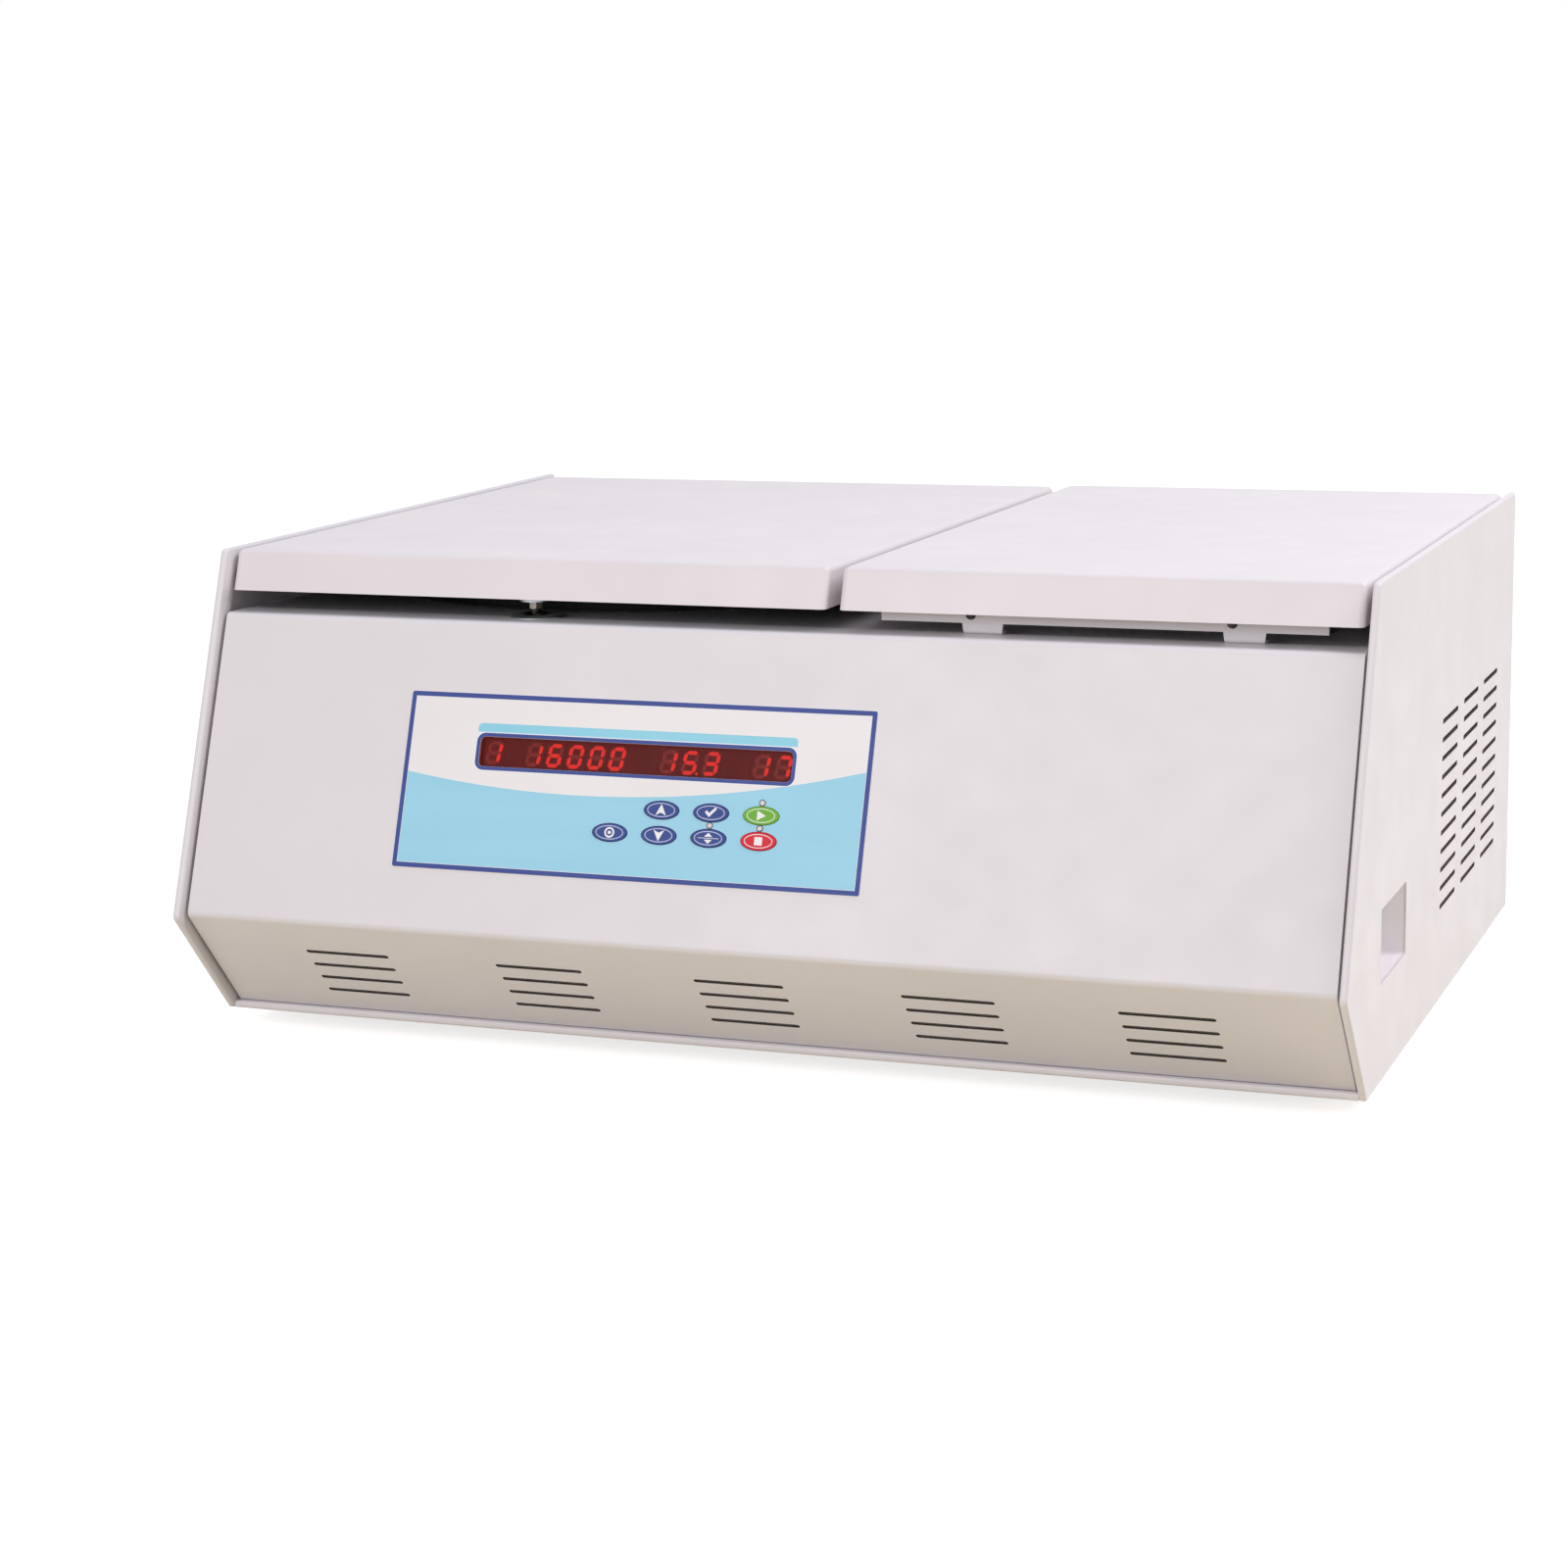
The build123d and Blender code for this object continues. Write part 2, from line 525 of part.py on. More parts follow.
def rear_panel():
    """Rear sheet between the side panels, folded forward on the floor and over the deck."""
    top = DECK_TOP + SEAT + SHEET
    points = [(REAR - RETURN, FLOOR_TOP + SEAT), (REAR, FLOOR_TOP + SEAT), (REAR, top), (REAR - RETURN, top)]
    x0 = LEFT + EDGE_FLANGE + SHADOW_GAP
    sheet = along_x(folded(points, [FOLD, FOLD], side=Side.LEFT), x0, -x0)
    back = Plane(origin=(0, REAR, UNDERSIDE), x_dir=(-1, 0, 0), z_dir=(0, 1, 0))
    vents = slots(REAR_COLUMNS, SIDE_COLUMN_PITCH, REAR_ROWS, SIDE_ROW_PITCH)
    machine = Pos(-RIGHT + SIDE_COLUMN_PITCH, SIDE_FIRST_ROW) * vents
    sheet -= extrude(back * machine, 2 * SHEET, both=True)
    chamber = Pos(-AXIS_X - SIDE_COLUMN_PITCH, SIDE_FIRST_ROW - SIDE_ROW_PITCH * (REAR_ROWS - 1) / 2)
    chamber = chamber * slots(REAR_COLUMNS, SIDE_COLUMN_PITCH, FRONT_ROWS, FRONT_ROW_PITCH)
    sheet -= extrude(back * chamber, 2 * SHEET, both=True)
    inlet = Pos(-INLET_X, INLET_RISE) * Rectangle(INLET_WIDTH + SEAT, INLET_HEIGHT + SEAT)
    rocker = Pos(-ROCKER_X, INLET_RISE)
    rocker *= Rectangle(ROCKER_WIDTH + 2 * ROCKER_WALL + SEAT, 2 * (ROCKER_REACH + ROCKER_WALL) + SEAT)
    return sheet - extrude(back * (inlet + rocker), 2 * SHEET, both=True)


def deck_plate():
    """Deck under the lids: a shallow channel with holes for chamber, striker and service."""
    side = LEFT + SHEET
    points = [(side, DECK_TOP - PAN_WALL), (side, DECK_TOP), (-side, DECK_TOP), (-side, DECK_TOP - PAN_WALL)]
    front = PANEL_TOP.X + 2 * BEND
    deck = along_y(folded(points, [FOLD, FOLD]), front, REAR - FOLD - SEAT)
    edge = EDGE_FLANGE + SEAT
    for x in (LEFT, RIGHT - edge):
        deck -= block(x, x + edge, REAR - EDGE_RETURN - SEAT, REAR, UNDERSIDE, TOP)
    deck -= cylinder(BOWL_RADIUS + FOLD + SEAT, DECK_BOTTOM - 1, DECK_TOP + 1, AXIS_X, AXIS_Y)
    deck -= cylinder(LOCK_NECK + SEAT, DECK_BOTTOM - 1, DECK_TOP + 1, AXIS_X, STRIKER_Y)
    middle = Pos((COVER_LEFT + COVER_RIGHT) / 2, (FRONT + BROW_SETBACK + REAR) / 2, DECK_BOTTOM - 1)
    return deck - middle * extrude(RectangleRounded(SERVICE_WIDTH, SERVICE_DEPTH, RETURN), 2 * SHEET + 2)


def bulkhead():
    """Wall between the chamber and the machine space, with a foot and a head folded to the right."""
    foot, head = FLOOR_TOP + SEAT, DECK_BOTTOM - SEAT
    end = BULKHEAD_X + RETURN
    points = [(end, foot), (BULKHEAD_X, foot), (BULKHEAD_X, head), (end, head)]
    return along_y(folded(points, [FOLD, FOLD]), FRONT + BULKHEAD_SETBACK, REAR - SHEET - RETURN - SEAT)


def hood(x0, x1, rear):
    """Pressed cover: front skirt parallel to the front panel, other skirts upright, edges rounded."""
    def body(inset, bottom, radius):
        top = LID_TOP - inset
        run = tan(LEAN)
        back = (LID_INSET + inset) / cos(LEAN)
        front_top = FRONT + back + (top - KNEE.Y) * run
        front_bottom = FRONT + back + (bottom - KNEE.Y) * run
        face = polygon((front_bottom, bottom), (front_top, top), (rear - inset, top), (rear - inset, bottom))
        solid = along_x(face, x0 + inset, x1 - inset)
        lowest = solid.faces().sort_by(Axis.Z)[0].edges()
        return fillet([e for e in solid.edges() if e not in lowest], radius)
    return body(0, LID_BOTTOM, LID_EDGE) - body(SHEET, LID_BOTTOM - 2 * SHEET, LID_EDGE - SHEET)


def cover_rail():
    """Angle that carries the machine cover: an upright strip folded under its top, with two tapered feet."""
    start = COVER_LEFT + RAIL_INSET
    top = LID_TOP - SHEET
    low = LID_BOTTOM - RAIL_DROP
    points = [(0, low), (0, top), (RAIL_FLANGE, top)]
    rail = along_x(folded(points, [FOLD]), start, start + RAIL_LENGTH)
    foot = [(0, low + RETURN), (0, DECK_TOP + SEAT + SHEET), (TAB_FOOT, DECK_TOP + SEAT + SHEET)]
    half = TAB_WIDTH / 2
    for side in (-1, 1):
        middle = start + RAIL_LENGTH / 2 + TAB_SHIFT + side * TAB_PITCH / 2
        tab = along_x(folded(foot, [FOLD], side=Side.LEFT), middle - half, middle + half)
        left, right = middle - half, middle + half
        taper = polygon((left + TAB_TAPER, DECK_TOP), (right - TAB_TAPER, DECK_TOP),
                        (right, LID_BOTTOM), (left, LID_BOTTOM))
        rail += tab & along_y(taper, -1, TAB_FOOT + 1)
    return rail


def cover_rails():
    front = Pos(0, FRONT + RAIL_SETBACK, 0) * cover_rail()
    rear = Pos(COVER_LEFT + COVER_RIGHT, REAR - RAIL_REAR, 0) * Rot(0, 0, 180) * cover_rail()
    return group([front, rear])


def cover_screws():
    """Pan-head screws on the front rail."""
    head = Rot(90, 0, 0) * Cylinder(SCREW_HEAD / 2, SCREW_HEAD_HEIGHT)
    head = fillet(head.faces().sort_by(Axis.Y)[0].edges(), SCREW_HEAD_HEIGHT / 2)
    middle = COVER_LEFT + RAIL_INSET + RAIL_LENGTH / 2
    y = FRONT + RAIL_SETBACK - SCREW_HEAD_HEIGHT / 2
    z = LID_BOTTOM - RAIL_SCREW_DROP
    return group([Pos(middle + side * TAB_PITCH / 2, y, z) * head for side in (-1, 1)])


# ================================================================ control panel
def on_overlay(x, rise):
    """A place given from the overlay's lower left corner, on the upper front's plane."""
    return Pos(LEFT + OVERLAY_LEFT + x, OVERLAY_RISE + rise)


def key_place(name):
    column, row = KEYS[name]
    return on_overlay(KEY_FIRST + column * KEY_PITCH, KEY_LOWER + row * KEY_ROW_PITCH)


def light_places():
    """The lights stand over the start key and between the two rows of the last two columns."""
    last = KEY_FIRST + 3 * KEY_PITCH
    between = KEY_LOWER + KEY_ROW_PITCH / 2
    return [on_overlay(last, LIGHT_UPPER), on_overlay(last, between), on_overlay(last - KEY_PITCH, between)]


def key_outline(grow):
    return Ellipse(KEY_LENGTH / 2 + grow, KEY_WIDTH / 2 + grow)


def window_outline(grow):
    outline = RectangleRounded(WINDOW_WIDTH + 2 * grow, WINDOW_HEIGHT + 2 * grow, WINDOW_CORNER + grow)
    return on_overlay(WINDOW_LEFT + WINDOW_WIDTH / 2, WINDOW_RISE + WINDOW_HEIGHT / 2) * outline


def overlay_openings():
    """What is cut through the front panel and its overlay alike: window, keys and lights."""
    holes = Sketch() + window_outline(0)
    holes += [key_place(name) * key_outline(KEY_PLAY) for name in KEYS]
    holes += [place * Circle(LIGHT_PIPE + WINDOW_PLAY) for place in light_places()]
    return extrude(UPPER * holes, 2 * SHEET, both=True)


def keypad_overlay():
    sheet = on_overlay(OVERLAY_WIDTH / 2, OVERLAY_HEIGHT / 2)
    sheet *= RectangleRounded(OVERLAY_WIDTH, OVERLAY_HEIGHT, OVERLAY_CORNER)
    return extrude(UPPER * sheet, OVERLAY_THICKNESS) - overlay_openings()


def display_filter():
    """Red window: its raised middle fills the opening, its rim lies behind the panel."""
    front = UPPER.offset(-SHEET) * window_outline(-WINDOW_PLAY)
    rim = UPPER.offset(-SHEET - FILTER_BACK) * window_outline(FILTER_RIM)
    return extrude(front, SHEET + OVERLAY_THICKNESS - WINDOW_PLAY) + extrude(rim, FILTER_BACK)


def display_digits():
    """Eleven seven-segment modules in groups, their backs on the control board."""
    back = UPPER.offset(-BOARD_FACE)
    middle = WINDOW_RISE + WINDOW_HEIGHT / 2
    module = Rectangle(DIGIT_WIDTH, DIGIT_HEIGHT)
    spots = [first + i * DIGIT_PITCH for first, count in DIGIT_GROUPS for i in range(count)]
    return group([extrude(back * on_overlay(x, middle) * module, DIGIT_DEPTH) for x in spots])


def pillar_places():
    inset = BOARD_MARGIN + 2 * PILLAR_RADIUS
    return [
        on_overlay(x, rise)
        for x in (inset, OVERLAY_WIDTH / 2, OVERLAY_WIDTH - inset)
        for rise in (inset, OVERLAY_HEIGHT - BOARD_MARGIN)
    ]


def control_board():
    board = Rectangle(OVERLAY_WIDTH - 2 * BOARD_MARGIN, OVERLAY_HEIGHT - BOARD_MARGIN)
    board = on_overlay(OVERLAY_WIDTH / 2, OVERLAY_HEIGHT / 2) * board
    return extrude(UPPER.offset(-BOARD_FACE - BOARD_THICKNESS) * board, BOARD_THICKNESS)


def board_pillars():
    """Spacers that carry the control board on the back of the front panel."""
    back = UPPER.offset(-BOARD_FACE)
    pillar = Circle(PILLAR_RADIUS)
    return group([extrude(back * place * pillar, BOARD_FACE - SHEET) for place in pillar_places()])


def key_cap(name):
    """Oval key with a soft edge, two ears behind the panel and a stem towards its switch."""
    place = key_place(name)
    cap = extrude(UPPER.offset(-SHEET) * place * key_outline(0), SHEET + OVERLAY_THICKNESS + KEY_PROUD)
    cap = fillet(cap.faces().sort_by(Axis(UPPER.origin, UPPER.z_dir))[-1].edges(), KEY_PROUD * 0.8)
    flange = Rectangle(KEY_LENGTH + 2 * KEY_FLANGE, KEY_WIDTH / 2)
    flange = UPPER.offset(-SHEET - KEY_FLANGE_THICKNESS) * place * flange
    stem = UPPER.offset(-key_stem_end()) * place * Circle(KEY_STEM / 2)
    return cap + extrude(flange, KEY_FLANGE_THICKNESS) + extrude(stem, key_stem_end() - SHEET)


def key_stem_end():
    """The stem stops just short of the switch when the key is down."""
    return BOARD_FACE - KEY_SWITCH_HEIGHT - KEY_TRAVEL - SEAT


def key_switches():
    back = UPPER.offset(-BOARD_FACE)
    body = Rectangle(KEY_SWITCH_WIDTH, KEY_SWITCH_WIDTH)
    return group([extrude(back * key_place(name) * body, KEY_SWITCH_HEIGHT) for name in KEYS])


def status_lights():
    """Three indicator lamps: a low dome on the overlay, on a pipe from the control board."""
    reach = BOARD_FACE + OVERLAY_THICKNESS
    dome = cylinder(LIGHT_RADIUS, reach, reach + LIGHT_RADIUS / 2)
    dome = fillet(dome.faces().sort_by(Axis.Z)[-1].edges(), LIGHT_RADIUS * 0.45)
    lamp = cylinder(LIGHT_PIPE, 0, reach) + dome
    base = UPPER.offset(-BOARD_FACE)
    return group([base * place * lamp for place in light_places()])


# ================================================================ lid
def lid_shell():
    return hood(LID_LEFT, LID_RIGHT, LID_REAR)


def lid_front(z):
    """Inner face of the lid's front skirt at a height."""
    return FRONT + (LID_INSET + SHEET) / cos(LEAN) + (z - KNEE.Y) * tan(LEAN)


def lid_liner():
    """Flat inner sheet that closes the lid, level with the skirt's lower edge."""
    front = lid_front(LID_BOTTOM + LINER_SHEET) + LINER_PLAY
    rear = LID_REAR - SHEET - LINER_PLAY
    width = LID_WIDTH - 2 * SHEET - 2 * LINER_PLAY
    sheet = extrude(RectangleRounded(width, rear - front, LID_EDGE), LINER_SHEET)
    return Pos(AXIS_X, (front + rear) / 2, LID_BOTTOM) * sheet


def lid_foam():
    """Insulation between liner and lid, its front parallel to the skirt."""
    low, high = LID_BOTTOM + LINER_SHEET, LID_TOP - SHEET
    rear = LID_REAR - SHEET - LID_EDGE
    fronts = (lid_front(low) + LID_EDGE, low), (lid_front(high) + LID_EDGE, high)
    face = polygon(*fronts, (rear, high), (rear, low))
    return along_x(face, LID_LEFT + SHEET + LID_EDGE, LID_RIGHT - SHEET - LID_EDGE)


def lid_striker():
    """Plate under the lid with a necked pin that drops through the deck into the lock."""
    plate_bottom = LID_BOTTOM - SHEET
    tip = LID_BOTTOM - STRIKER_LENGTH
    radius, neck, head = STRIKER_RADIUS, STRIKER_RADIUS * 0.6, tip + 2 * STRIKER_RADIUS
    pin = turned((0, tip), (radius / 2, tip), (radius, tip + radius), (radius, head), (neck, head),
                 (neck, head + STRIKER_NECK), (radius, head + STRIKER_NECK), (radius, plate_bottom),
                 (0, plate_bottom))
    plate = extrude(RectangleRounded(STRIKER_PLATE, STRIKER_PLATE / 2, FOLD), SHEET)
    return Pos(AXIS_X, STRIKER_Y, 0) * (pin + Pos(0, 0, plate_bottom) * plate)


def lid_lock():
    """Lock under the deck: a body with a well for the striker, a collared neck and a solenoid beside it."""
    top = DECK_BOTTOM
    body = block(-LOCK_LENGTH / 2, LOCK_LENGTH / 2, -LOCK_WIDTH / 2, LOCK_WIDTH / 2, top - LOCK_HEIGHT, top)
    body = fillet(body.edges().filter_by(Axis.Z), FOLD)
    body += cylinder(LOCK_NECK, top, DECK_TOP)
    collar = cylinder(LOCK_COLLAR, DECK_TOP, DECK_TOP + LOCK_COLLAR_HEIGHT)
    body += fillet(collar.faces().sort_by(Axis.Z)[-1].edges(), LOCK_COLLAR_HEIGHT / 2)
    well = LID_BOTTOM - STRIKER_LENGTH - STRIKER_CLEARANCE
    body -= cylinder(STRIKER_RADIUS + STRIKER_CLEARANCE, well, DECK_TOP + LOCK_COLLAR_HEIGHT + 1)
    coil = Pos(LOCK_LENGTH / 2, 0, top - LOCK_HEIGHT / 2) * Rot(0, 90, 0) * Cylinder(
        LOCK_WIDTH / 3, LOCK_LENGTH / 2, align=(Align.CENTER, Align.CENTER, Align.MIN))
    return Pos(AXIS_X, STRIKER_Y, 0) * (body + coil)


def knuckle(x0, x1, web):
    """A hinge knuckle along X with a web up or down to its leaf."""
    roll = Rot(0, 90, 0) * Cylinder(KNUCKLE_RADIUS, x1 - x0)
    edge = HINGE_Z - DECK_TOP
    low, high = (0, edge) if web > 0 else (-edge, 0)
    body = Pos((x0 + x1) / 2, 0, 0) * roll + block(x0, x1, -KNUCKLE_RADIUS, KNUCKLE_RADIUS, low, high)
    return body


def hinge_bore(radius):
    return Rot(0, 90, 0) * Cylinder(radius, 4 * KNUCKLE_LENGTH)


def hinge_places():
    return [Pos(AXIS_X + side * HINGE_SPREAD, HINGE_Y, HINGE_Z) for side in (-1, 1)]


def hinge_fixed_leaves():
    """Leaves on the deck: a plate with two knuckles, left and right of the lid's knuckle."""
    half = KNUCKLE_LENGTH / 2
    edge = HINGE_Z - DECK_TOP
    gap = half + KNUCKLE_PLAY
    leaf = block(-3 * half, 3 * half, -LEAF_LENGTH, KNUCKLE_RADIUS, -edge, -edge + LEAF_THICKNESS)
    leaf += knuckle(-3 * half, -half, -1) + knuckle(half, 3 * half, -1)
    leaf -= block(-gap, gap, -2 * KNUCKLE_RADIUS, KNUCKLE_RADIUS + 1, -edge, edge)
    leaf -= hinge_bore(HINGE_PIN_RADIUS + HINGE_PIN_FIT)
    return group([place * leaf for place in hinge_places()])


def hinge_moving_leaves():
    """Leaves under the lid: a plate with one knuckle between the deck's two."""
    half = KNUCKLE_LENGTH / 2
    inner = half - KNUCKLE_PLAY
    edge = LID_BOTTOM - HINGE_Z
    leaf = block(-3 * half, 3 * half, -LEAF_LENGTH, -2 * KNUCKLE_RADIUS, edge - LEAF_THICKNESS, edge)
    leaf += block(-inner, inner, -3 * KNUCKLE_RADIUS, 0, edge - LEAF_THICKNESS, edge)
    leaf += knuckle(-inner, inner, 1)
    leaf -= hinge_bore(HINGE_PIN_RADIUS + HINGE_PIN_FIT)
    return group([place * leaf for place in hinge_places()])


def hinge_pins():
    pin = Rot(0, 90, 0) * Cylinder(HINGE_PIN_RADIUS, 3 * KNUCKLE_LENGTH)
    return group([place * pin for place in hinge_places()])


# ================================================================ chamber
def chamber_bowl():
    """Drawn steel bowl that hangs in the deck by its rim, with a collar round the shaft."""
    points = [(SHAFT_HOLE, BOWL_FLOOR + BOWL_COLLAR), (SHAFT_HOLE, BOWL_FLOOR), (BOWL_RADIUS, BOWL_FLOOR),
              (BOWL_RADIUS, RIM_TOP), (BOWL_RADIUS + BOWL_RIM, RIM_TOP)]
    wall = folded(points, [FOLD, BOWL_CORNER, FOLD], wall=BOWL_WALL)
    return Pos(AXIS_X, AXIS_Y, 0) * revolve(Plane.XZ * wall, Axis.Z)


def evaporator_coil():
    """Cooling tube round the bowl, as closed turns."""
    ring = Torus(BOWL_RADIUS + BOWL_WALL + COIL_TUBE + SEAT, COIL_TUBE)
    lowest = BOWL_FLOOR + BOWL_CORNER + COIL_TUBE
    return group([Pos(AXIS_X, AXIS_Y, lowest + i * COIL_PITCH) * ring for i in range(COIL_TURNS)])


def chamber_insulation():
    inside = BOWL_RADIUS + BOWL_WALL + 2 * COIL_TUBE + 2 * SEAT
    seat = BOWL_FLOOR - BOWL_WALL
    hole = SHAFT_HOLE + BOOT_LIP + 1
    return Pos(AXIS_X, AXIS_Y, 0) * turned(
        (hole, FOAM_BOTTOM), (FOAM_RADIUS, FOAM_BOTTOM), (FOAM_RADIUS, DECK_BOTTOM),
        (inside, DECK_BOTTOM), (inside, seat), (hole, seat))


def chamber_gasket():
    """Rubber ring on the bowl's rim, rounded where the lid's liner presses on it."""
    start = BOWL_RADIUS + (BOWL_RIM - GASKET_WIDTH) / 2 + 1
    top = LID_BOTTOM
    end = start + GASKET_WIDTH
    face = polygon((start, RIM_TOP), (end, RIM_TOP), (end, top), (start, top))
    face = fillet(face.vertices().sort_by(Axis.Y)[-2:], GASKET_WIDTH / 3)
    return Pos(AXIS_X, AXIS_Y, 0) * revolve(Plane.XZ * face, Axis.Z)


def shaft_boot():
    """Rubber bellows between the motor's boss and the bowl's floor."""
    inner = BOSS_RADIUS - BOOT_SEAT - 1
    outer = SHAFT_HOLE + BOOT_LIP - BOOT_SEAT
    seat = BOWL_FLOOR - BOWL_WALL
    wall = BOOT_WALL
    low = BOSS_TOP
    waist = low + (seat - low) * 0.55
    return Pos(AXIS_X, AXIS_Y, 0) * turned(
        (inner, low), (inner + BOOT_SEAT, low), (inner + BOOT_SEAT, low + wall), (inner + wall, low + 2 * wall),
        (inner + wall, waist), (outer, seat - wall), (outer + BOOT_SEAT, seat - wall), (outer + BOOT_SEAT, seat),
        (outer - wall, seat), (inner, waist + wall))


# ================================================================ rotor
def rotor_yoke():
    """Hub with a cross bridge and two long arms; the four ends of the arms carry the bucket pins."""
    low, high = PIVOT_Z - ARM_HEIGHT / 2, PIVOT_Z + ARM_HEIGHT / 2
    near, end = ARM_REACH - ARM_BEVEL, ARM_END / 2
    arm = polygon((-ARM_REACH, PIVOT_Z + end), (-near, high), (near, high), (ARM_REACH, PIVOT_Z + end),
                  (ARM_REACH, PIVOT_Z - end), (near, low), (-near, low), (-ARM_REACH, PIVOT_Z - end))
    outer = ARM_INSIDE + ARM_THICKNESS
    yoke = along_y(arm, ARM_INSIDE, outer) + along_y(arm, -outer, -ARM_INSIDE)
    lightening = Pos(PIVOT_RADIUS / 2 + 2, PIVOT_Z) * SlotOverall(PIVOT_RADIUS / 2, ARM_HEIGHT / 2)
    lightening += Pos(-PIVOT_RADIUS / 2 - 2, PIVOT_Z) * SlotOverall(PIVOT_RADIUS / 2, ARM_HEIGHT / 2)
    yoke -= along_y(lightening, -outer - 1, outer + 1)
    narrow = BRIDGE_WIDTH / 2
    bridge = polygon((-HUB_RADIUS, 0), (-narrow, ARM_INSIDE), (narrow, ARM_INSIDE), (HUB_RADIUS, 0),
                     (narrow, -ARM_INSIDE), (-narrow, -ARM_INSIDE))
    yoke += Pos(0, 0, low) * extrude(bridge, ARM_HEIGHT)
    yoke += cylinder(HUB_RADIUS, HUB_BOTTOM, HUB_TOP)
    yoke -= cylinder(SHAFT_RADIUS + SHAFT_FIT, HUB_BOTTOM - 1, HUB_TOP + 1)
    for x in (-PIVOT_RADIUS, PIVOT_RADIUS):
        yoke -= Pos(x, 0, PIVOT_Z) * Rot(90, 0, 0) * Cylinder(PIN_RADIUS, 2 * outer + 2)
    return Pos(AXIS_X, AXIS_Y, 0) * yoke


def bucket_pins():
    """Four shouldered pins pressed through the arms; their inner ends carry the buckets."""
    tip = EAR_INSIDE + PIN_COLLAR_GAP
    outer = ARM_INSIDE + ARM_THICKNESS
    shoulder = EAR_OUTSIDE + PIN_COLLAR_GAP
    pin = turned((0, tip), (PIN_RADIUS - 0.8, tip), (PIN_RADIUS, tip + 0.8), (PIN_RADIUS, shoulder),
                 (PIN_COLLAR, shoulder), (PIN_COLLAR, ARM_INSIDE), (PIN_RADIUS, ARM_INSIDE),
                 (PIN_RADIUS, outer), (0, outer))
    pins = [Rot(0, 0, turn) * Pos(x, 0, PIVOT_Z) * Rot(-90, 0, 0) * pin
            for turn in (0, 180) for x in (-PIVOT_RADIUS, PIVOT_RADIUS)]
    return group([Pos(AXIS_X, AXIS_Y, 0) * piece for piece in pins])


def bucket(side):
    """Plate carrier: a rounded tray with an ear at each end, notched from below to hang on two pins."""
    bottom = PIVOT_Z - BUCKET_DROP
    rim = bottom + BUCKET_FLOOR + BUCKET_DEPTH
    half_w, half_l = POCKET_HALF_WIDTH, POCKET_HALF_LENGTH
    wall = BUCKET_WALL
    outer = RectangleRounded(2 * (half_w + wall), 2 * (half_l + wall), BUCKET_CORNER + wall)
    tray = Pos(0, 0, bottom) * extrude(outer, rim - bottom)
    tray = fillet(tray.faces().sort_by(Axis.Z)[0].edges(), BUCKET_WALL)
    ear = fillet(Rectangle(EAR_WIDTH, EAR_TOP + EAR_BOTTOM).vertices().sort_by(Axis.Y)[-2:], EAR_TOP)
    ear = Pos(0, PIVOT_Z + (EAR_TOP - EAR_BOTTOM) / 2) * ear
    tray += along_y(ear, EAR_INSIDE - wall, EAR_OUTSIDE) + along_y(ear, -EAR_OUTSIDE, wall - EAR_INSIDE)
    pocket = RectangleRounded(2 * half_w, 2 * half_l, BUCKET_CORNER)
    tray -= Pos(0, 0, bottom + BUCKET_FLOOR) * extrude(pocket, EAR_TOP + BUCKET_DROP)
    window = SlotOverall(half_l, half_w / 2)
    tray -= Pos(0, 0, bottom - 1) * Rot(0, 0, 90) * extrude(window, BUCKET_FLOOR + 2)
    fit = PIN_RADIUS + PIN_FIT
    notch = Circle(fit) + Pos(0, -EAR_BOTTOM) * Rectangle(2 * fit, 2 * EAR_BOTTOM)
    notch = Pos(0, PIVOT_Z) * notch
    tray -= along_y(notch, EAR_INSIDE, EAR_OUTSIDE + 1) + along_y(notch, -EAR_OUTSIDE - 1, -EAR_INSIDE)
    return Pos(AXIS_X + side * PIVOT_RADIUS, AXIS_Y, 0) * tray


def drive_shaft():
    """Motor shaft with a seat for the hub and a stud for the nut."""
    foot = FLOOR_TOP + MOTOR_PLATE_HEIGHT - MOTOR_HEIGHT + BEARING_HEIGHT
    seat = SHAFT_RADIUS + SHAFT_STEP
    stud_top = HUB_TOP + NUT_HEIGHT - NUT_CROWN
    return Pos(AXIS_X, AXIS_Y, 0) * turned(
        (0, foot), (SHAFT_RADIUS, foot), (SHAFT_RADIUS, HUB_BOTTOM - 3 * SHAFT_STEP),
        (seat, HUB_BOTTOM - 1.5 * SHAFT_STEP), (seat, HUB_BOTTOM), (SHAFT_RADIUS, HUB_BOTTOM),
        (SHAFT_RADIUS, HUB_TOP), (STUD_RADIUS, HUB_TOP), (STUD_RADIUS, stud_top), (0, stud_top))


def rotor_nut():
    """Round knob with finger flats that clamps the hub."""
    knob = extrude(Circle(NUT_RADIUS), NUT_HEIGHT)
    knob = fillet(knob.faces().sort_by(Axis.Z)[-1].edges(), FOLD)
    knob -= cylinder(STUD_RADIUS + SHAFT_FIT, -1, NUT_HEIGHT - NUT_CROWN)
    for flute in PolarLocations(NUT_RADIUS + NUT_FLUTE / 2, NUT_FLUTES):
        knob -= flute * Cylinder(NUT_FLUTE, 4 * NUT_HEIGHT)
    return Pos(AXIS_X, AXIS_Y, HUB_TOP) * knob


# ================================================================ drive
def motor_posts():
    posts = [cylinder(POST_RADIUS, FLOOR_TOP, PLATE_BOTTOM - MOUNT_HEIGHT, spot.position.X, spot.position.Y)
             for spot in PolarLocations(POST_DISTANCE, 4, start_angle=45)]
    return group([Pos(AXIS_X, AXIS_Y, 0) * post for post in posts])


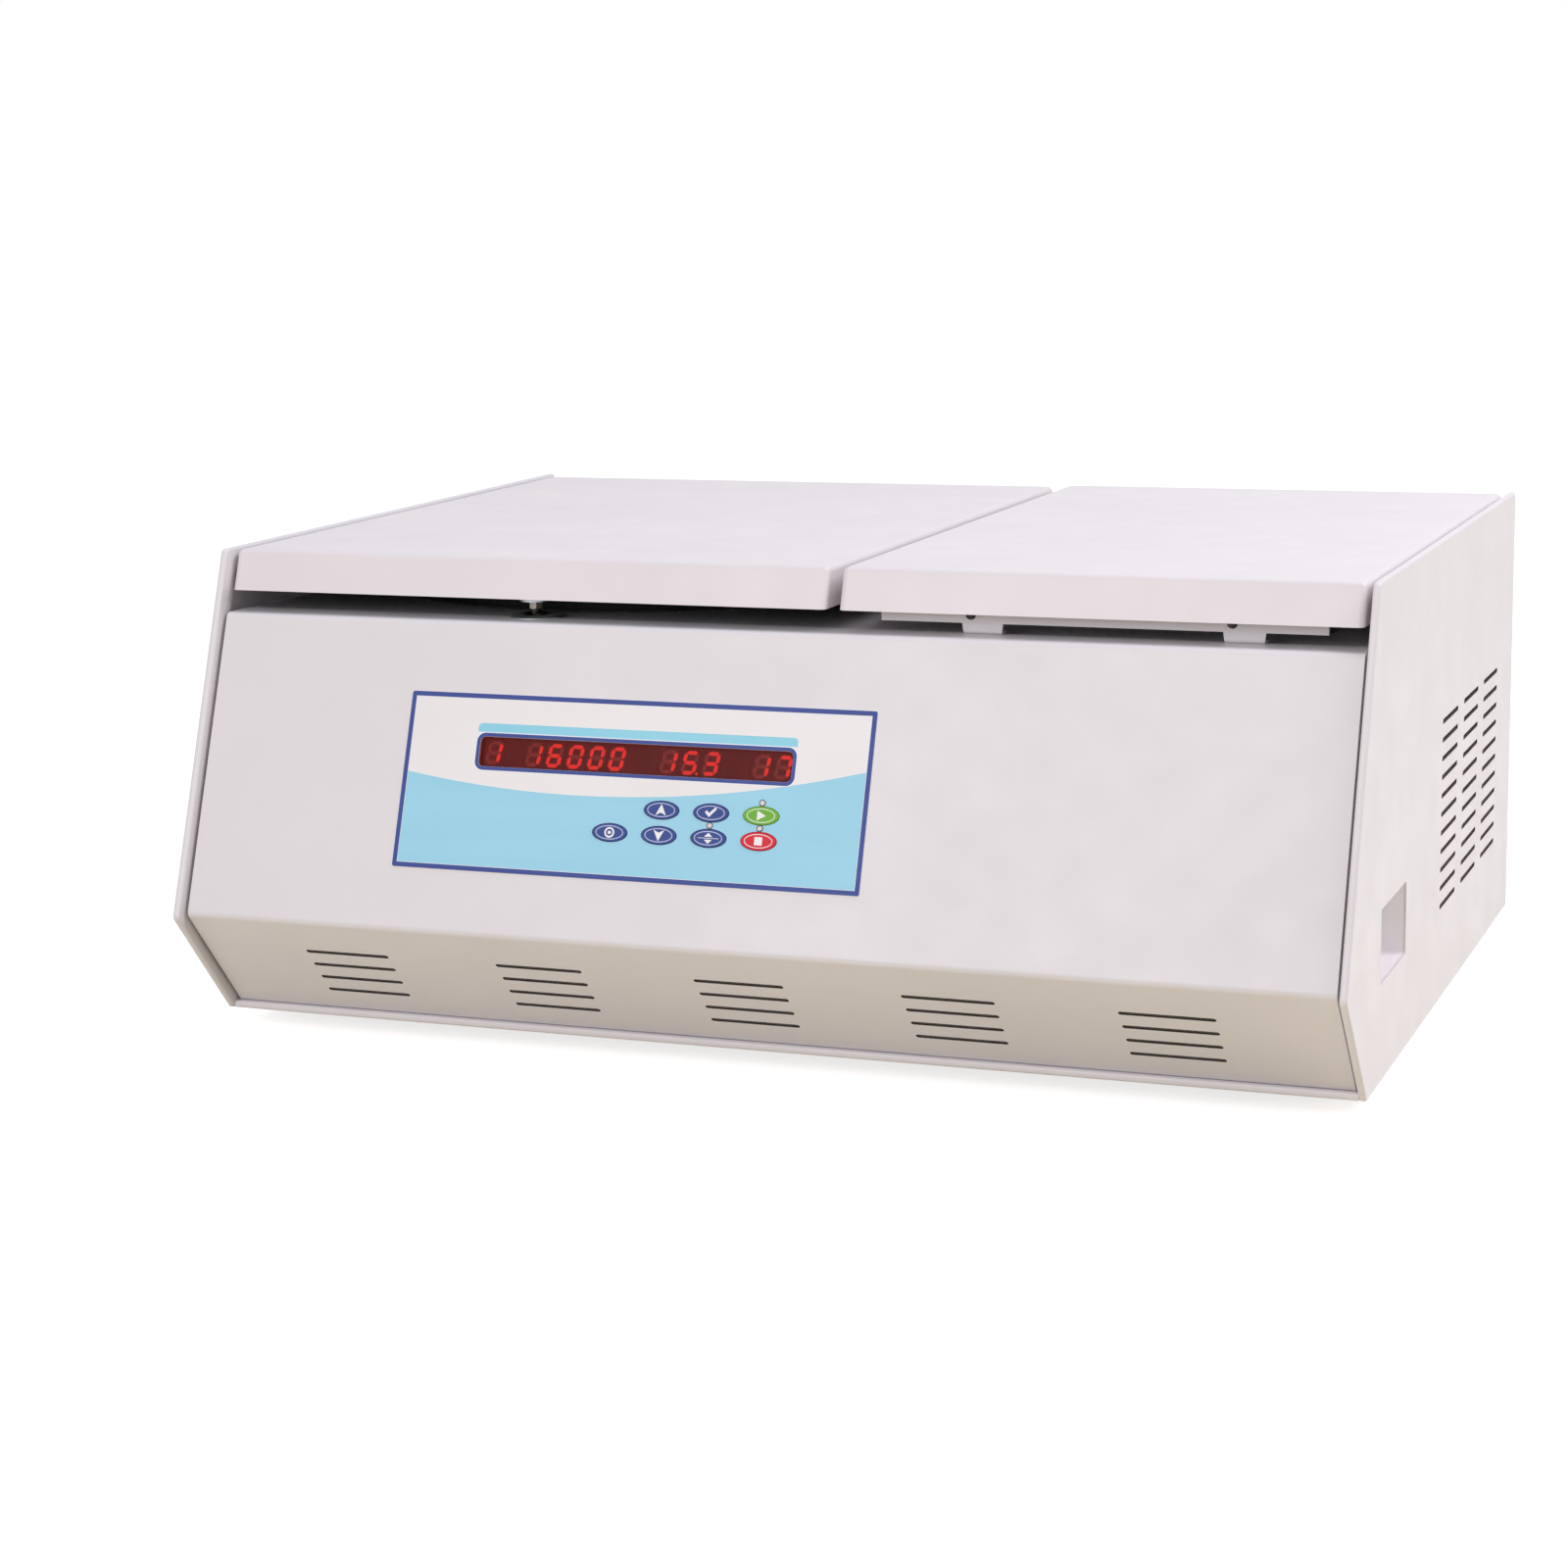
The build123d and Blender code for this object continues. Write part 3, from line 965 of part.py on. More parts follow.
def rubber_mounts():
    """Waisted rubber bushes under the motor plate and under the compressor's base."""
    def bush(radius, bottom, height):
        return turned((0, bottom), (radius, bottom), (radius * 0.8, bottom + height / 2),
                      (radius, bottom + height), (0, bottom + height))
    motor = [Pos(AXIS_X, AXIS_Y, 0) * spot * bush(MOUNT_RADIUS, PLATE_BOTTOM - MOUNT_HEIGHT, MOUNT_HEIGHT)
             for spot in PolarLocations(POST_DISTANCE, 4, start_angle=45)]
    pump = [compressor_place() * spot * bush(GROMMET_RADIUS, FLOOR_TOP, GROMMET_HEIGHT)
            for spot in GridLocations(COMPRESSOR_FEET, COMPRESSOR_FEET, 2, 2)]
    return group(motor + pump)


def motor_plate():
    """Cast plate on the rubber mounts; its bell holds the upper bearing in a boss."""
    top = PLATE_TOP + SHIELD_HEIGHT
    wide = MOTOR_RADIUS - 6
    lip = BEARING_RADIUS - 3
    return Pos(AXIS_X, AXIS_Y, 0) * turned(
        (BEARING_RADIUS, PLATE_BOTTOM), (MOTOR_PLATE_RADIUS, PLATE_BOTTOM), (MOTOR_PLATE_RADIUS, PLATE_TOP),
        (wide, PLATE_TOP), (wide, PLATE_TOP + SHIELD_HEIGHT / 2), (BOSS_RADIUS + 6, top), (BOSS_RADIUS, top),
        (BOSS_RADIUS, BOSS_TOP), (lip, BOSS_TOP), (lip, BOSS_TOP - 2), (BEARING_RADIUS, BOSS_TOP - 2))


def motor_housing():
    """Flat motor under the plate, with a rounded bottom and a bore for shaft and lower bearing."""
    bottom = PLATE_BOTTOM - MOTOR_HEIGHT
    body = cylinder(MOTOR_RADIUS, bottom, PLATE_BOTTOM)
    body = fillet(body.faces().sort_by(Axis.Z)[0].edges(), BEND)
    body -= cylinder(BEARING_RADIUS, bottom + BEND, PLATE_BOTTOM + 1)
    return Pos(AXIS_X, AXIS_Y, 0) * body


def shaft_bearings():
    ring = cylinder(BEARING_RADIUS, 0, BEARING_HEIGHT)
    ring -= cylinder(SHAFT_RADIUS + SHAFT_FIT, -1, BEARING_HEIGHT + 1)
    lower = PLATE_BOTTOM - MOTOR_HEIGHT + BEND + BEARING_HEIGHT
    upper = BOSS_TOP - 2 - BEARING_HEIGHT
    return group([Pos(AXIS_X, AXIS_Y, z) * ring for z in (lower, upper)])


# ================================================================ machine space
def compressor_place():
    return Pos(COMPRESSOR_X, FRONT + COMPRESSOR_SETBACK, 0)


def compressor():
    """Welded can of two drawn halves on a base plate, with a terminal cover on its side."""
    base = FLOOR_TOP + GROMMET_HEIGHT
    low = base + COMPRESSOR_PLATE
    radius, dome, seam = COMPRESSOR_RADIUS, COMPRESSOR_DOME, COMPRESSOR_SEAM
    waist, high = low + COMPRESSOR_HEIGHT / 2, low + COMPRESSOR_HEIGHT
    wide = radius + seam
    drum = polygon((0, low), (radius, low), (radius, waist), (wide, waist), (wide, waist + seam),
                   (radius - SHEET, waist + seam), (radius - SHEET, high), (0, high))
    ends = drum.vertices().filter_by(lambda v: v.X > 1 and (v.Y < low + 1 or v.Y > high - 1))
    can = revolve(Plane.XZ * fillet(ends, dome), Axis.Z)
    plate = extrude(RectangleRounded(COMPRESSOR_BASE, COMPRESSOR_BASE, GROMMET_RADIUS), COMPRESSOR_PLATE)
    half = TERMINAL_COVER / 2
    box = block(-half, half, -radius - half, -radius + half, waist - 2 * half, waist - seam)
    box = fillet(box.edges().filter_by(Axis.Z), BEND)
    return compressor_place() * (can + Pos(0, 0, base) * plate + box)


def condenser():
    """Finned block behind the side slots: a core with upright fins standing out on both faces."""
    x0, x1 = CONDENSER_X, CONDENSER_X + CONDENSER_THICKNESS
    half = CONDENSER_LENGTH / 2
    top = FLOOR_TOP + CONDENSER_HEIGHT
    cut = (CONDENSER_THICKNESS - CONDENSER_CORE) / 2
    pitch = CONDENSER_LENGTH / CONDENSER_FINS
    slab = block(x0, x1, -half, half, FLOOR_TOP, top)
    for i in range(CONDENSER_FINS):
        y = -half + (i + 0.5) * pitch
        slab -= block(x0 - 1, x0 + cut, y - pitch / 3, y + pitch / 3, FLOOR_TOP + BEND, top - BEND)
        slab -= block(x1 - cut, x1 + 1, y - pitch / 3, y + pitch / 3, FLOOR_TOP + BEND, top - BEND)
    return Pos(0, CONDENSER_Y, 0) * slab


def facing_x(x):
    """A plane at one x, over the fan's axis, looking towards the right side panel."""
    return Plane(origin=(x, CONDENSER_Y, FAN_Z), x_dir=(0, 1, 0), z_dir=(1, 0, 0))


def fan_shroud():
    """Sheet on the condenser's inner face with a round collar for the fan."""
    sheet = extrude(facing_x(CONDENSER_X - SHEET) * Rectangle(CONDENSER_LENGTH, CONDENSER_HEIGHT), SHEET)
    radius = FAN_RADIUS + FAN_TIP
    sheet += extrude(facing_x(CONDENSER_X - COLLAR_DEPTH) * Circle(radius + SHEET), COLLAR_DEPTH)
    return sheet - extrude(facing_x(CONDENSER_X - COLLAR_DEPTH - 1) * Circle(radius), COLLAR_DEPTH + 2)


def fan_blades():
    """Hub with swept, pitched blades."""
    hub = Cylinder(FAN_HUB, FAN_DEPTH)
    hub = fillet(hub.faces().sort_by(Axis.Z)[-1].edges(), FOLD)
    sweep = polygon((FAN_HUB - 3, -9), (FAN_RADIUS - 8, -22), (FAN_RADIUS - 3, 12), (FAN_HUB - 3, 9))
    blade = Rot(24, 0, 0) * extrude(fillet(sweep.vertices().sort_by(Axis.X)[-2:], 6), SHEET)
    for place in PolarLocations(0, FAN_BLADES):
        hub += place * blade
    hub -= cylinder(FAN_AXLE + SHAFT_FIT, -FAN_DEPTH, FAN_DEPTH / 4)
    return facing_x(CONDENSER_X - COLLAR_DEPTH / 2 - 2) * hub


def fan_motor():
    """Small motor on a strap that bridges the fan's collar."""
    start = FAN_MOTOR_X
    back = start + FAN_MOTOR_LENGTH
    motor = extrude(facing_x(start) * Circle(FAN_MOTOR_RADIUS), FAN_MOTOR_LENGTH)
    motor = fillet(motor.faces().sort_by(Axis.X)[0].edges(), BEND)
    axle_end = CONDENSER_X - COLLAR_DEPTH / 2 - 2 + FAN_DEPTH / 4
    motor += extrude(facing_x(back) * Circle(FAN_AXLE), axle_end - back - SEAT)
    reach = FAN_RADIUS + FAN_TIP + SHEET + SEAT
    side = CONDENSER_X - SHEET
    end = reach + STRAP_FOOT
    strap = [(side, end), (side, reach), (start, reach), (start, -reach), (side, -reach), (side, -end)]
    strap = folded(strap, [FOLD] * 4, side=Side.RIGHT)
    strap = Pos(0, CONDENSER_Y, FAN_Z) * along_y(strap, -STRAP_WIDTH / 2, STRAP_WIDTH / 2)
    return motor + strap


def refrigerant_pipes():
    """Discharge pipe over to the condenser's top and suction pipe over to the bulkhead."""
    top = FLOOR_TOP + GROMMET_HEIGHT + COMPRESSOR_PLATE + COMPRESSOR_HEIGHT
    apart, rise = 25.0, 20.0
    x, y = COMPRESSOR_X, FRONT + COMPRESSOR_SETBACK - rise
    over = CONDENSER_X + CONDENSER_THICKNESS / 2
    up, down = top + rise, FLOOR_TOP + CONDENSER_HEIGHT
    discharge = [(x + apart, y, top), (x + apart, y, up), (over, y, up), (over, y, down)]
    suction = [(x - apart, y, top), (x - apart, y, up), (BULKHEAD_X + SHEET, y, up)]
    pipes = []
    for points in (discharge, suction):
        path = FilletPolyline(*points, radius=3 * PIPE_RADIUS)
        pipes.append(sweep(Plane(origin=path @ 0, z_dir=path % 0) * Circle(PIPE_RADIUS), path=path))
    return group(pipes)


def power_board():
    """Circuit board on four pillars with heat sink, transformer and capacitors."""
    x0 = (BULKHEAD_X + RIGHT - POWER_BOARD_LENGTH - HANDLE_DEPTH) / 2
    y0 = FRONT + BULKHEAD_SETBACK + HANDLE_DEPTH
    low = FLOOR_TOP + POWER_BOARD_RISE
    top = low + BOARD_THICKNESS
    inset = POWER_BOARD_INSET
    board = block(x0, x0 + POWER_BOARD_LENGTH, y0, y0 + POWER_BOARD_WIDTH, low, top)
    for x in (x0 + inset, x0 + POWER_BOARD_LENGTH - inset):
        for y in (y0 + inset, y0 + POWER_BOARD_WIDTH - inset):
            board += cylinder(PILLAR_RADIUS, FLOOR_TOP, low, x, y)
    x, y = x0 + 2 * inset, y0 + 3 * inset
    board += block(x, x + TRANSFORMER_LENGTH, y, y + TRANSFORMER_WIDTH, top, top + TRANSFORMER_HEIGHT)
    x, y = x + TRANSFORMER_LENGTH + 3 * inset, y0 + 2 * inset
    board += block(x, x + SINK_LENGTH, y, y + SINK_WIDTH, top, top + SINK_BASE)
    for i in range(SINK_FINS):
        fin = y + i * (SINK_WIDTH - SINK_FIN) / (SINK_FINS - 1)
        board += block(x, x + SINK_LENGTH, fin, fin + SINK_FIN, top, top + SINK_HEIGHT)
    for i in range(3):
        middle = x + CAPACITOR_RADIUS + CAPACITOR_PITCH * i
        board += cylinder(CAPACITOR_RADIUS, top, top + CAPACITOR_HEIGHT, middle, y + SINK_WIDTH + 3 * inset)
    return board


# ================================================================ rear fittings
def back_plane(x, out):
    """A plane facing backwards, out from the rear face, over a fitting's middle."""
    return Plane(origin=(x, REAR + out, UNDERSIDE + INLET_RISE), x_dir=(-1, 0, 0), z_dir=(0, 1, 0))


def power_inlet():
    """Three-pin mains inlet: a shell with a six-sided socket, a flange on the panel and three blades."""
    w, h = INLET_WIDTH / 2, INLET_HEIGHT / 2
    flange = RectangleRounded(INLET_WIDTH + 2 * INLET_EAR, INLET_HEIGHT + INLET_RIM, BEND)
    flange = extrude(back_plane(INLET_X, 0) * flange, INLET_FLANGE)
    shell = extrude(back_plane(INLET_X, -INLET_DEPTH) * Rectangle(INLET_WIDTH, INLET_HEIGHT), INLET_DEPTH)
    a, b = w - INLET_WALL, h - INLET_WALL
    chamfer = INLET_CHAMFER
    c, d = a - chamfer, b - chamfer
    socket = polygon((-a, -b), (a, -b), (a, d), (c, b), (-c, b), (-a, d))
    floor = back_plane(INLET_X, INLET_FLANGE - SOCKET_DEPTH)
    body = flange + shell - extrude(floor * socket, SOCKET_DEPTH + 1)
    blade = Rectangle(BLADE_THICKNESS, 2 * BLADE_THICKNESS)
    for x, y in ((-BLADE_SPREAD, -BLADE_THICKNESS), (BLADE_SPREAD, -BLADE_THICKNESS), (0, BLADE_THICKNESS)):
        body += extrude(floor * Pos(x, y) * blade, SOCKET_DEPTH / 2)
    return body


def switch_housing():
    w, h = ROCKER_WIDTH + 2 * ROCKER_WALL, 2 * (ROCKER_REACH + ROCKER_WALL)
    flange = extrude(back_plane(ROCKER_X, 0) * RectangleRounded(w + 3, h + 3, FOLD), SWITCH_FLANGE)
    shell = extrude(back_plane(ROCKER_X, -SWITCH_DEPTH) * Rectangle(w, h), SWITCH_DEPTH)
    well = Rectangle(ROCKER_WIDTH + 2 * ROCKER_PLAY, 2 * (ROCKER_REACH + ROCKER_PLAY))
    well = extrude(back_plane(ROCKER_X, SWITCH_FLANGE + 1 - SWITCH_DEPTH) * well, SWITCH_DEPTH)
    return flange + shell - well + rocker_axle(0)


def rocker_axle(play):
    """Cross pin of the rocker, through the housing from side to side."""
    axle = Rot(0, 90, 0) * Cylinder(ROCKER_AXLE + play, ROCKER_WIDTH + ROCKER_WALL)
    return Pos(ROCKER_X, REAR + ROCKER_OUT, UNDERSIDE + INLET_RISE) * axle


def switch_rocker():
    """Rocker at rest with its lower half level with the frame: two flats that meet over its axle."""
    edge = 2 * ROCKER_REACH
    high = ROCKER_RISE + edge * tan(ROCKER_TILT)
    low = -ROCKER_REACH / 3
    face = polygon((0, ROCKER_RISE), (edge, high), (edge, low), (-edge, low), (-edge, high))
    face = Circle(ROCKER_REACH) & face
    face = Rot(0, 0, -degrees(ROCKER_TILT)) * face
    end = Plane(origin=(-ROCKER_WIDTH / 2, 0, 0), x_dir=(0, 0, -1), z_dir=(1, 0, 0))
    body = extrude(end * face, ROCKER_WIDTH)
    body = Pos(ROCKER_X, REAR + ROCKER_OUT, UNDERSIDE + INLET_RISE) * body
    return body - rocker_axle(SHAFT_FIT)


# ================================================================ feet
def feet():
    foot = turned((0, 0), (FOOT_RADIUS - FOOT_TAPER, 0), (FOOT_RADIUS, FOOT_HEIGHT), (0, FOOT_HEIGHT))
    foot -= cylinder(FOOT_RADIUS * 0.35, -1, FOOT_HEIGHT / 2)
    columns, rows = (LEFT + FOOT_INSET, RIGHT - FOOT_INSET), (FRONT + FRONT_FOOT, REAR - REAR_FOOT)
    spots = [(x, y) for x in columns for y in rows]
    return group([Pos(x, y, 0) * foot for x, y in spots])


# ================================================================ the whole instrument
PIECES = {
    "base_pan": base_pan, "left_side_panel": left_side_panel, "right_side_panel": right_side_panel,
    "handle_pockets": handle_pockets, "front_panel": front_panel, "rear_panel": rear_panel,
    "deck_plate": deck_plate, "bulkhead": bulkhead, "cover_rails": cover_rails, "cover_screws": cover_screws,
    "keypad_overlay": keypad_overlay, "display_filter": display_filter, "display_digits": display_digits,
    "control_board": control_board, "board_pillars": board_pillars, "key_switches": key_switches,
    "status_lights": status_lights, "lid_shell": lid_shell, "lid_liner": lid_liner, "lid_foam": lid_foam,
    "lid_striker": lid_striker, "lid_lock": lid_lock, "hinge_fixed_leaves": hinge_fixed_leaves,
    "hinge_moving_leaves": hinge_moving_leaves, "hinge_pins": hinge_pins, "chamber_bowl": chamber_bowl,
    "evaporator_coil": evaporator_coil, "chamber_insulation": chamber_insulation,
    "chamber_gasket": chamber_gasket, "shaft_boot": shaft_boot, "rotor_yoke": rotor_yoke,
    "bucket_pins": bucket_pins, "drive_shaft": drive_shaft, "rotor_nut": rotor_nut,
    "motor_posts": motor_posts, "rubber_mounts": rubber_mounts, "motor_plate": motor_plate,
    "motor_housing": motor_housing, "shaft_bearings": shaft_bearings,
    "compressor": compressor, "condenser": condenser, "fan_shroud": fan_shroud, "fan_blades": fan_blades,
    "fan_motor": fan_motor, "refrigerant_pipes": refrigerant_pipes, "power_board": power_board,
    "power_inlet": power_inlet, "switch_housing": switch_housing, "switch_rocker": switch_rocker, "feet": feet,
}

for name, make in PIECES.items():
    export_step(make(), f"parts/{name}.step")
export_step(hood(COVER_LEFT, COVER_RIGHT, COVER_REAR), "parts/machine_cover.step")
for name, side in (("left_bucket", -1), ("right_bucket", 1)):
    export_step(bucket(side), f"parts/{name}.step")
for name in KEYS:
    export_step(key_cap(name), f"parts/{name}.step")
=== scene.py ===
import json
from math import cos, radians, sin

import bpy
import numpy as np
from mathutils import Matrix, Vector
from mathutils.geometry import tessellate_polygon


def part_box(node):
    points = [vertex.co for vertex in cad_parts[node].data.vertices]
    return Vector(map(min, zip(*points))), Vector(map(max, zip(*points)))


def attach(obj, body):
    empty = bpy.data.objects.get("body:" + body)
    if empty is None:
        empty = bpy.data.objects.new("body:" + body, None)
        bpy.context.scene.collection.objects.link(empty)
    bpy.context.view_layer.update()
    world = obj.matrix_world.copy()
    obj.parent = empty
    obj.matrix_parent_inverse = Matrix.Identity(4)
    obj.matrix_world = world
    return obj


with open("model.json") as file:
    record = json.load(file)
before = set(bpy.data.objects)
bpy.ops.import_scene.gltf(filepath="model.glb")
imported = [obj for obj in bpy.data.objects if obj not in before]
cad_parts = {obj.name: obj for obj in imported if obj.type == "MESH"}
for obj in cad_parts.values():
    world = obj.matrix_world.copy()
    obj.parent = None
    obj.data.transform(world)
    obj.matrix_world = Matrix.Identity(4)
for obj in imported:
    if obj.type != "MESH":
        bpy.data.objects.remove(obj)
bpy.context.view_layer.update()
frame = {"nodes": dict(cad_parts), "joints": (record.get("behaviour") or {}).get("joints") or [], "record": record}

MM = 0.001                      # Blender works in metres, and every size below is in millimetres,
                                # up to the floor, the lamps and the camera

# ================================================================ places read from the frame
ACROSS = Vector((1.0, 0.0, 0.0))
BEHIND = Vector((0.0, 1.0, 0.0))
ABOVE = Vector((0.0, 0.0, 1.0))
PRESS = next(joint for joint in frame["joints"] if joint["name"] == "key_up_press")
OUT = -Vector(PRESS["axis"]).normalized()       # out of the control panel
UP = Vector((0.0, OUT.z, -OUT.y))               # up along the control panel

OVERLAY_SHEET = 0.5             # thickness of the overlay
OVERLAY_LOW, OVERLAY_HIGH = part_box("keypad_overlay")
OVERLAY_CORNER = Vector((OVERLAY_LOW.x, OVERLAY_LOW.y,
                         OVERLAY_LOW.z + OVERLAY_SHEET * MM * OUT.z))
OVERLAY_WIDTH = (OVERLAY_HIGH.x - OVERLAY_LOW.x) / MM
OVERLAY_HEIGHT = (OVERLAY_HIGH.z - OVERLAY_CORNER.z) / UP.z / MM


# ================================================================ building shader trees
def linear(hex_colour):
    """A colour written as sRGB hex, as Blender's linear RGBA."""
    parts = np.array([int(hex_colour[i:i + 2], 16) for i in (1, 3, 5)]) / 255.0
    parts = np.where(parts <= 0.04045, parts / 12.92, ((parts + 0.055) / 1.055) ** 2.4)
    return (*parts.tolist(), 1.0)


def add(tree, kind, sockets=None, **settings):
    """Adds one shader node with its settings; a socket takes a value or another node's output."""
    made = tree.nodes.new("ShaderNode" + kind)
    for name, value in settings.items():
        setattr(made, name, value)
    for name, value in (sockets or {}).items():
        if isinstance(value, bpy.types.NodeSocket):
            tree.links.new(value, made.inputs[name])
        else:
            made.inputs[name].default_value = value
    return made


def begin(name, **sockets):
    """A new material, its tree, its main shader and the point in object space that patterns
    read."""
    made = bpy.data.materials.new(name)
    made.use_nodes = True
    tree = made.node_tree
    tree.nodes.clear()
    values = {socket.replace("_", " "): value for socket, value in sockets.items()}
    shader = add(tree, "BsdfPrincipled", values)
    add(tree, "OutputMaterial", {"Surface": shader.outputs["BSDF"]})
    place = add(tree, "TexCoord").outputs["Object"]
    return made, tree, shader, place


def mottled(tree, place, shader, spacing, first, second, detail=3.0):
    """Base colour that drifts between two colours in soft spots so many millimetres apart."""
    cloud = add(tree, "TexNoise", {"Vector": place, "Scale": 1 / (spacing * MM), "Detail": detail})
    firm = add(tree, "MapRange",
               {"Value": cloud.outputs["Fac"], "From Min": 0.35, "From Max": 0.65})
    tone = {0: firm.outputs["Result"], 6: linear(first), 7: linear(second)}
    colour = add(tree, "Mix", tone, data_type="RGBA").outputs[2]
    tree.links.new(colour, shader.inputs["Base Color"])
    return colour


def uneven_gloss(tree, place, shader, spacing, smooth, rough):
    """Roughness that drifts between two values in spots so many millimetres apart."""
    cloud = add(tree, "TexNoise", {"Vector": place, "Scale": 1 / (spacing * MM), "Detail": 4.0})
    drift = {"Value": cloud.outputs["Fac"], "From Min": 0.3, "From Max": 0.7,
             "To Min": smooth, "To Max": rough}
    tree.links.new(add(tree, "MapRange", drift).outputs["Result"], shader.inputs["Roughness"])


def relief(tree, place, shader, spacing, depth, detail=2.0):
    """Random relief: bumps so many millimetres apart and deep."""
    height = add(tree, "TexNoise", {"Vector": place, "Scale": 1 / (spacing * MM), "Detail": detail})
    bump = {"Height": height.outputs["Fac"], "Distance": depth * MM, "Strength": 1.0}
    tree.links.new(add(tree, "Bump", bump).outputs["Normal"], shader.inputs["Normal"])


# ================================================================ finishes
WAVE = 0.314                    # scale of a wave pattern whose bands lie one unit apart
COAT = ("#dfdbdc", "#e2dedf")   # light grey powder coat of the cabinet
SLOT_SHADE_BROWN = "#4c3d33"            # painted shade: dull brown on the cut edges of the air slots
CUT_DEPTH, CUT_HALF = 0.75, 0.6             # cut edges with painted shade: middle of the sheet and half their width
OVERLAY_RISE = 36.2             # overlay above the front panel's fold
KNEE_HEIGHT, CHIN_SETBACK = 67.5, 58.8      # slope of the lower front
SLOTS_DOWN = (47.4, 22.0)       # front air slots, down from the fold: middle and half their reach
SLOTS_REACH = 400.0             # more than half the front panel's width
VENTS_BEHIND = (377.0, 108.0)   # side air slots, back from the knee: middle and half their reach
VENTS_ABOVE = (124.0, 62.0)     # side air slots, up from the floor: middle and half their reach


def powder_coat(name, first, second):
    """Polyester powder coat on steel sheet: satin, with a fine orange peel from the melted powder.
    The peel is about 1 mm on the real sheet and is drawn at 2.5 mm, so that it shows."""
    made, tree, shader, place = begin(name, Roughness=0.4, IOR=1.5)
    mottled(tree, place, shader, 90, first, second)
    uneven_gloss(tree, place, shader, 25, 0.34, 0.44)
    relief(tree, place, shader, 2.5, 0.012)
    return made


def paint_slot_shade(coat, start, spans):
    """Painted shade: dull brown on the cut edges of air slots, so that the slots look darker. The edges are what
    lies between the sheet's two faces, within a block of three spans: a direction with its middle and half width
    in millimetres from the starting point."""
    tree = coat.node_tree
    shader = tree.nodes["Principled BSDF"]
    clean = shader.inputs["Base Color"].links[0].from_socket
    place = add(tree, "TexCoord").outputs["Object"]
    inside = 1.0
    for axis, middle, half in spans:
        along = add(tree, "VectorMath", {0: place, 1: axis}, operation="DOT_PRODUCT")
        span = {0: along.outputs["Value"], 1: start.dot(axis) + middle * MM, 2: half * MM}
        near = add(tree, "Math", span, operation="COMPARE").outputs[0]
        inside = add(tree, "Math", {0: inside, 1: near}, operation="MULTIPLY").outputs[0]
    # painted shade: the cut edges inside the block take the dull brown instead of the coat
    tone = {0: inside, 6: clean, 7: linear(SLOT_SHADE_BROWN)}
    slot_shaded = add(tree, "Mix", tone, data_type="RGBA").outputs[2]
    tree.links.new(slot_shaded, shader.inputs["Base Color"])


def slotted_front_coat():
    """Powder coat of the front panel, with painted shade on the cut edges of the air slots in its lower face. The
    slots lie down that face from the fold, which is below the overlay."""
    made = powder_coat("front_powder_coat", *COAT)
    fold = OVERLAY_CORNER - (OUT * OVERLAY_SHEET + UP * OVERLAY_RISE) * MM
    down = Vector((0.0, CHIN_SETBACK, -KNEE_HEIGHT)).normalized()
    outward = Vector((0.0, down.z, -down.y))
    paint_slot_shade(made, fold, ((outward, -CUT_DEPTH, CUT_HALF), (down, *SLOTS_DOWN),
                               (ACROSS, OVERLAY_WIDTH / 2, SLOTS_REACH)))
    return made


def slotted_side_coat():
    """Powder coat of the side panels, with painted shade on the cut edges of the air slots in the right one. The
    slots lie behind the panel's foremost corner and above the floor."""
    made = powder_coat("side_powder_coat", *COAT)
    low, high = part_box("right_side_panel")
    corner = Vector((high.x, low.y, 0.0))
    paint_slot_shade(made, corner, ((ACROSS, -CUT_DEPTH, CUT_HALF), (BEHIND, *VENTS_BEHIND),
                                 (ABOVE, *VENTS_ABOVE)))
    return made


def galvanised_sheet():
    """Hot-dip galvanised sheet: cool grey with spangles, flat crystals about 9 mm wide."""
    made, tree, shader, place = begin("galvanised_sheet", Metallic=1.0, Roughness=0.45)
    crystal = add(tree, "TexVoronoi", {"Vector": place, "Scale": 1 / (9 * MM)})
    grey = add(tree, "RGBToBW", {"Color": crystal.outputs["Color"]}).outputs["Val"]
    tone = {0: grey, 6: linear("#a2a6a8"), 7: linear("#c3c7c9")}
    spangled = add(tree, "Mix", tone, data_type="RGBA").outputs[2]
    tree.links.new(spangled, shader.inputs["Base Color"])
    gloss = add(tree, "MapRange", {"Value": grey, "To Min": 0.34, "To Max": 0.52})
    tree.links.new(gloss.outputs["Result"], shader.inputs["Roughness"])
    return made


def brushed_stainless():
    """Brushed stainless sheet: bright, with hairlines along X about 0.4 mm apart."""
    made, tree, shader, place = begin("brushed_stainless", Metallic=1.0, Roughness=0.3)
    lines = add(tree, "Mapping", {"Vector": place, "Scale": (0.02, 1.0, 1.0)}).outputs["Vector"]
    mottled(tree, lines, shader, 0.4, "#b9babb", "#cfd0d0", 2.0)
    relief(tree, lines, shader, 0.4, 0.002)
    return made


def spun_stainless():
    """Drawn and spun stainless bowl: bright, with turning rings about 1.5 mm apart round its
    axis."""
    made, tree, shader, place = begin("spun_stainless", Metallic=1.0, Roughness=0.36)
    low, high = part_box("chamber_bowl")
    centre = -(low + high) / 2
    turned = add(tree, "Mapping", {"Vector": place, "Location": (centre.x, centre.y, 0.0)})
    settings = {"Vector": turned.outputs["Vector"], "Scale": WAVE / (1.5 * MM),
                "Distortion": 0.6, "Detail": 1.0}
    rings = add(tree, "TexWave", settings, wave_type="RINGS", rings_direction="Z").outputs["Fac"]
    bump = add(tree, "Bump", {"Height": rings, "Distance": 0.003 * MM, "Strength": 1.0})
    tree.links.new(bump.outputs["Normal"], shader.inputs["Normal"])
    mottled(tree, place, shader, 40, "#b3b4b3", "#c2c3c2")
    uneven_gloss(tree, place, shader, 30, 0.32, 0.44)
    return made


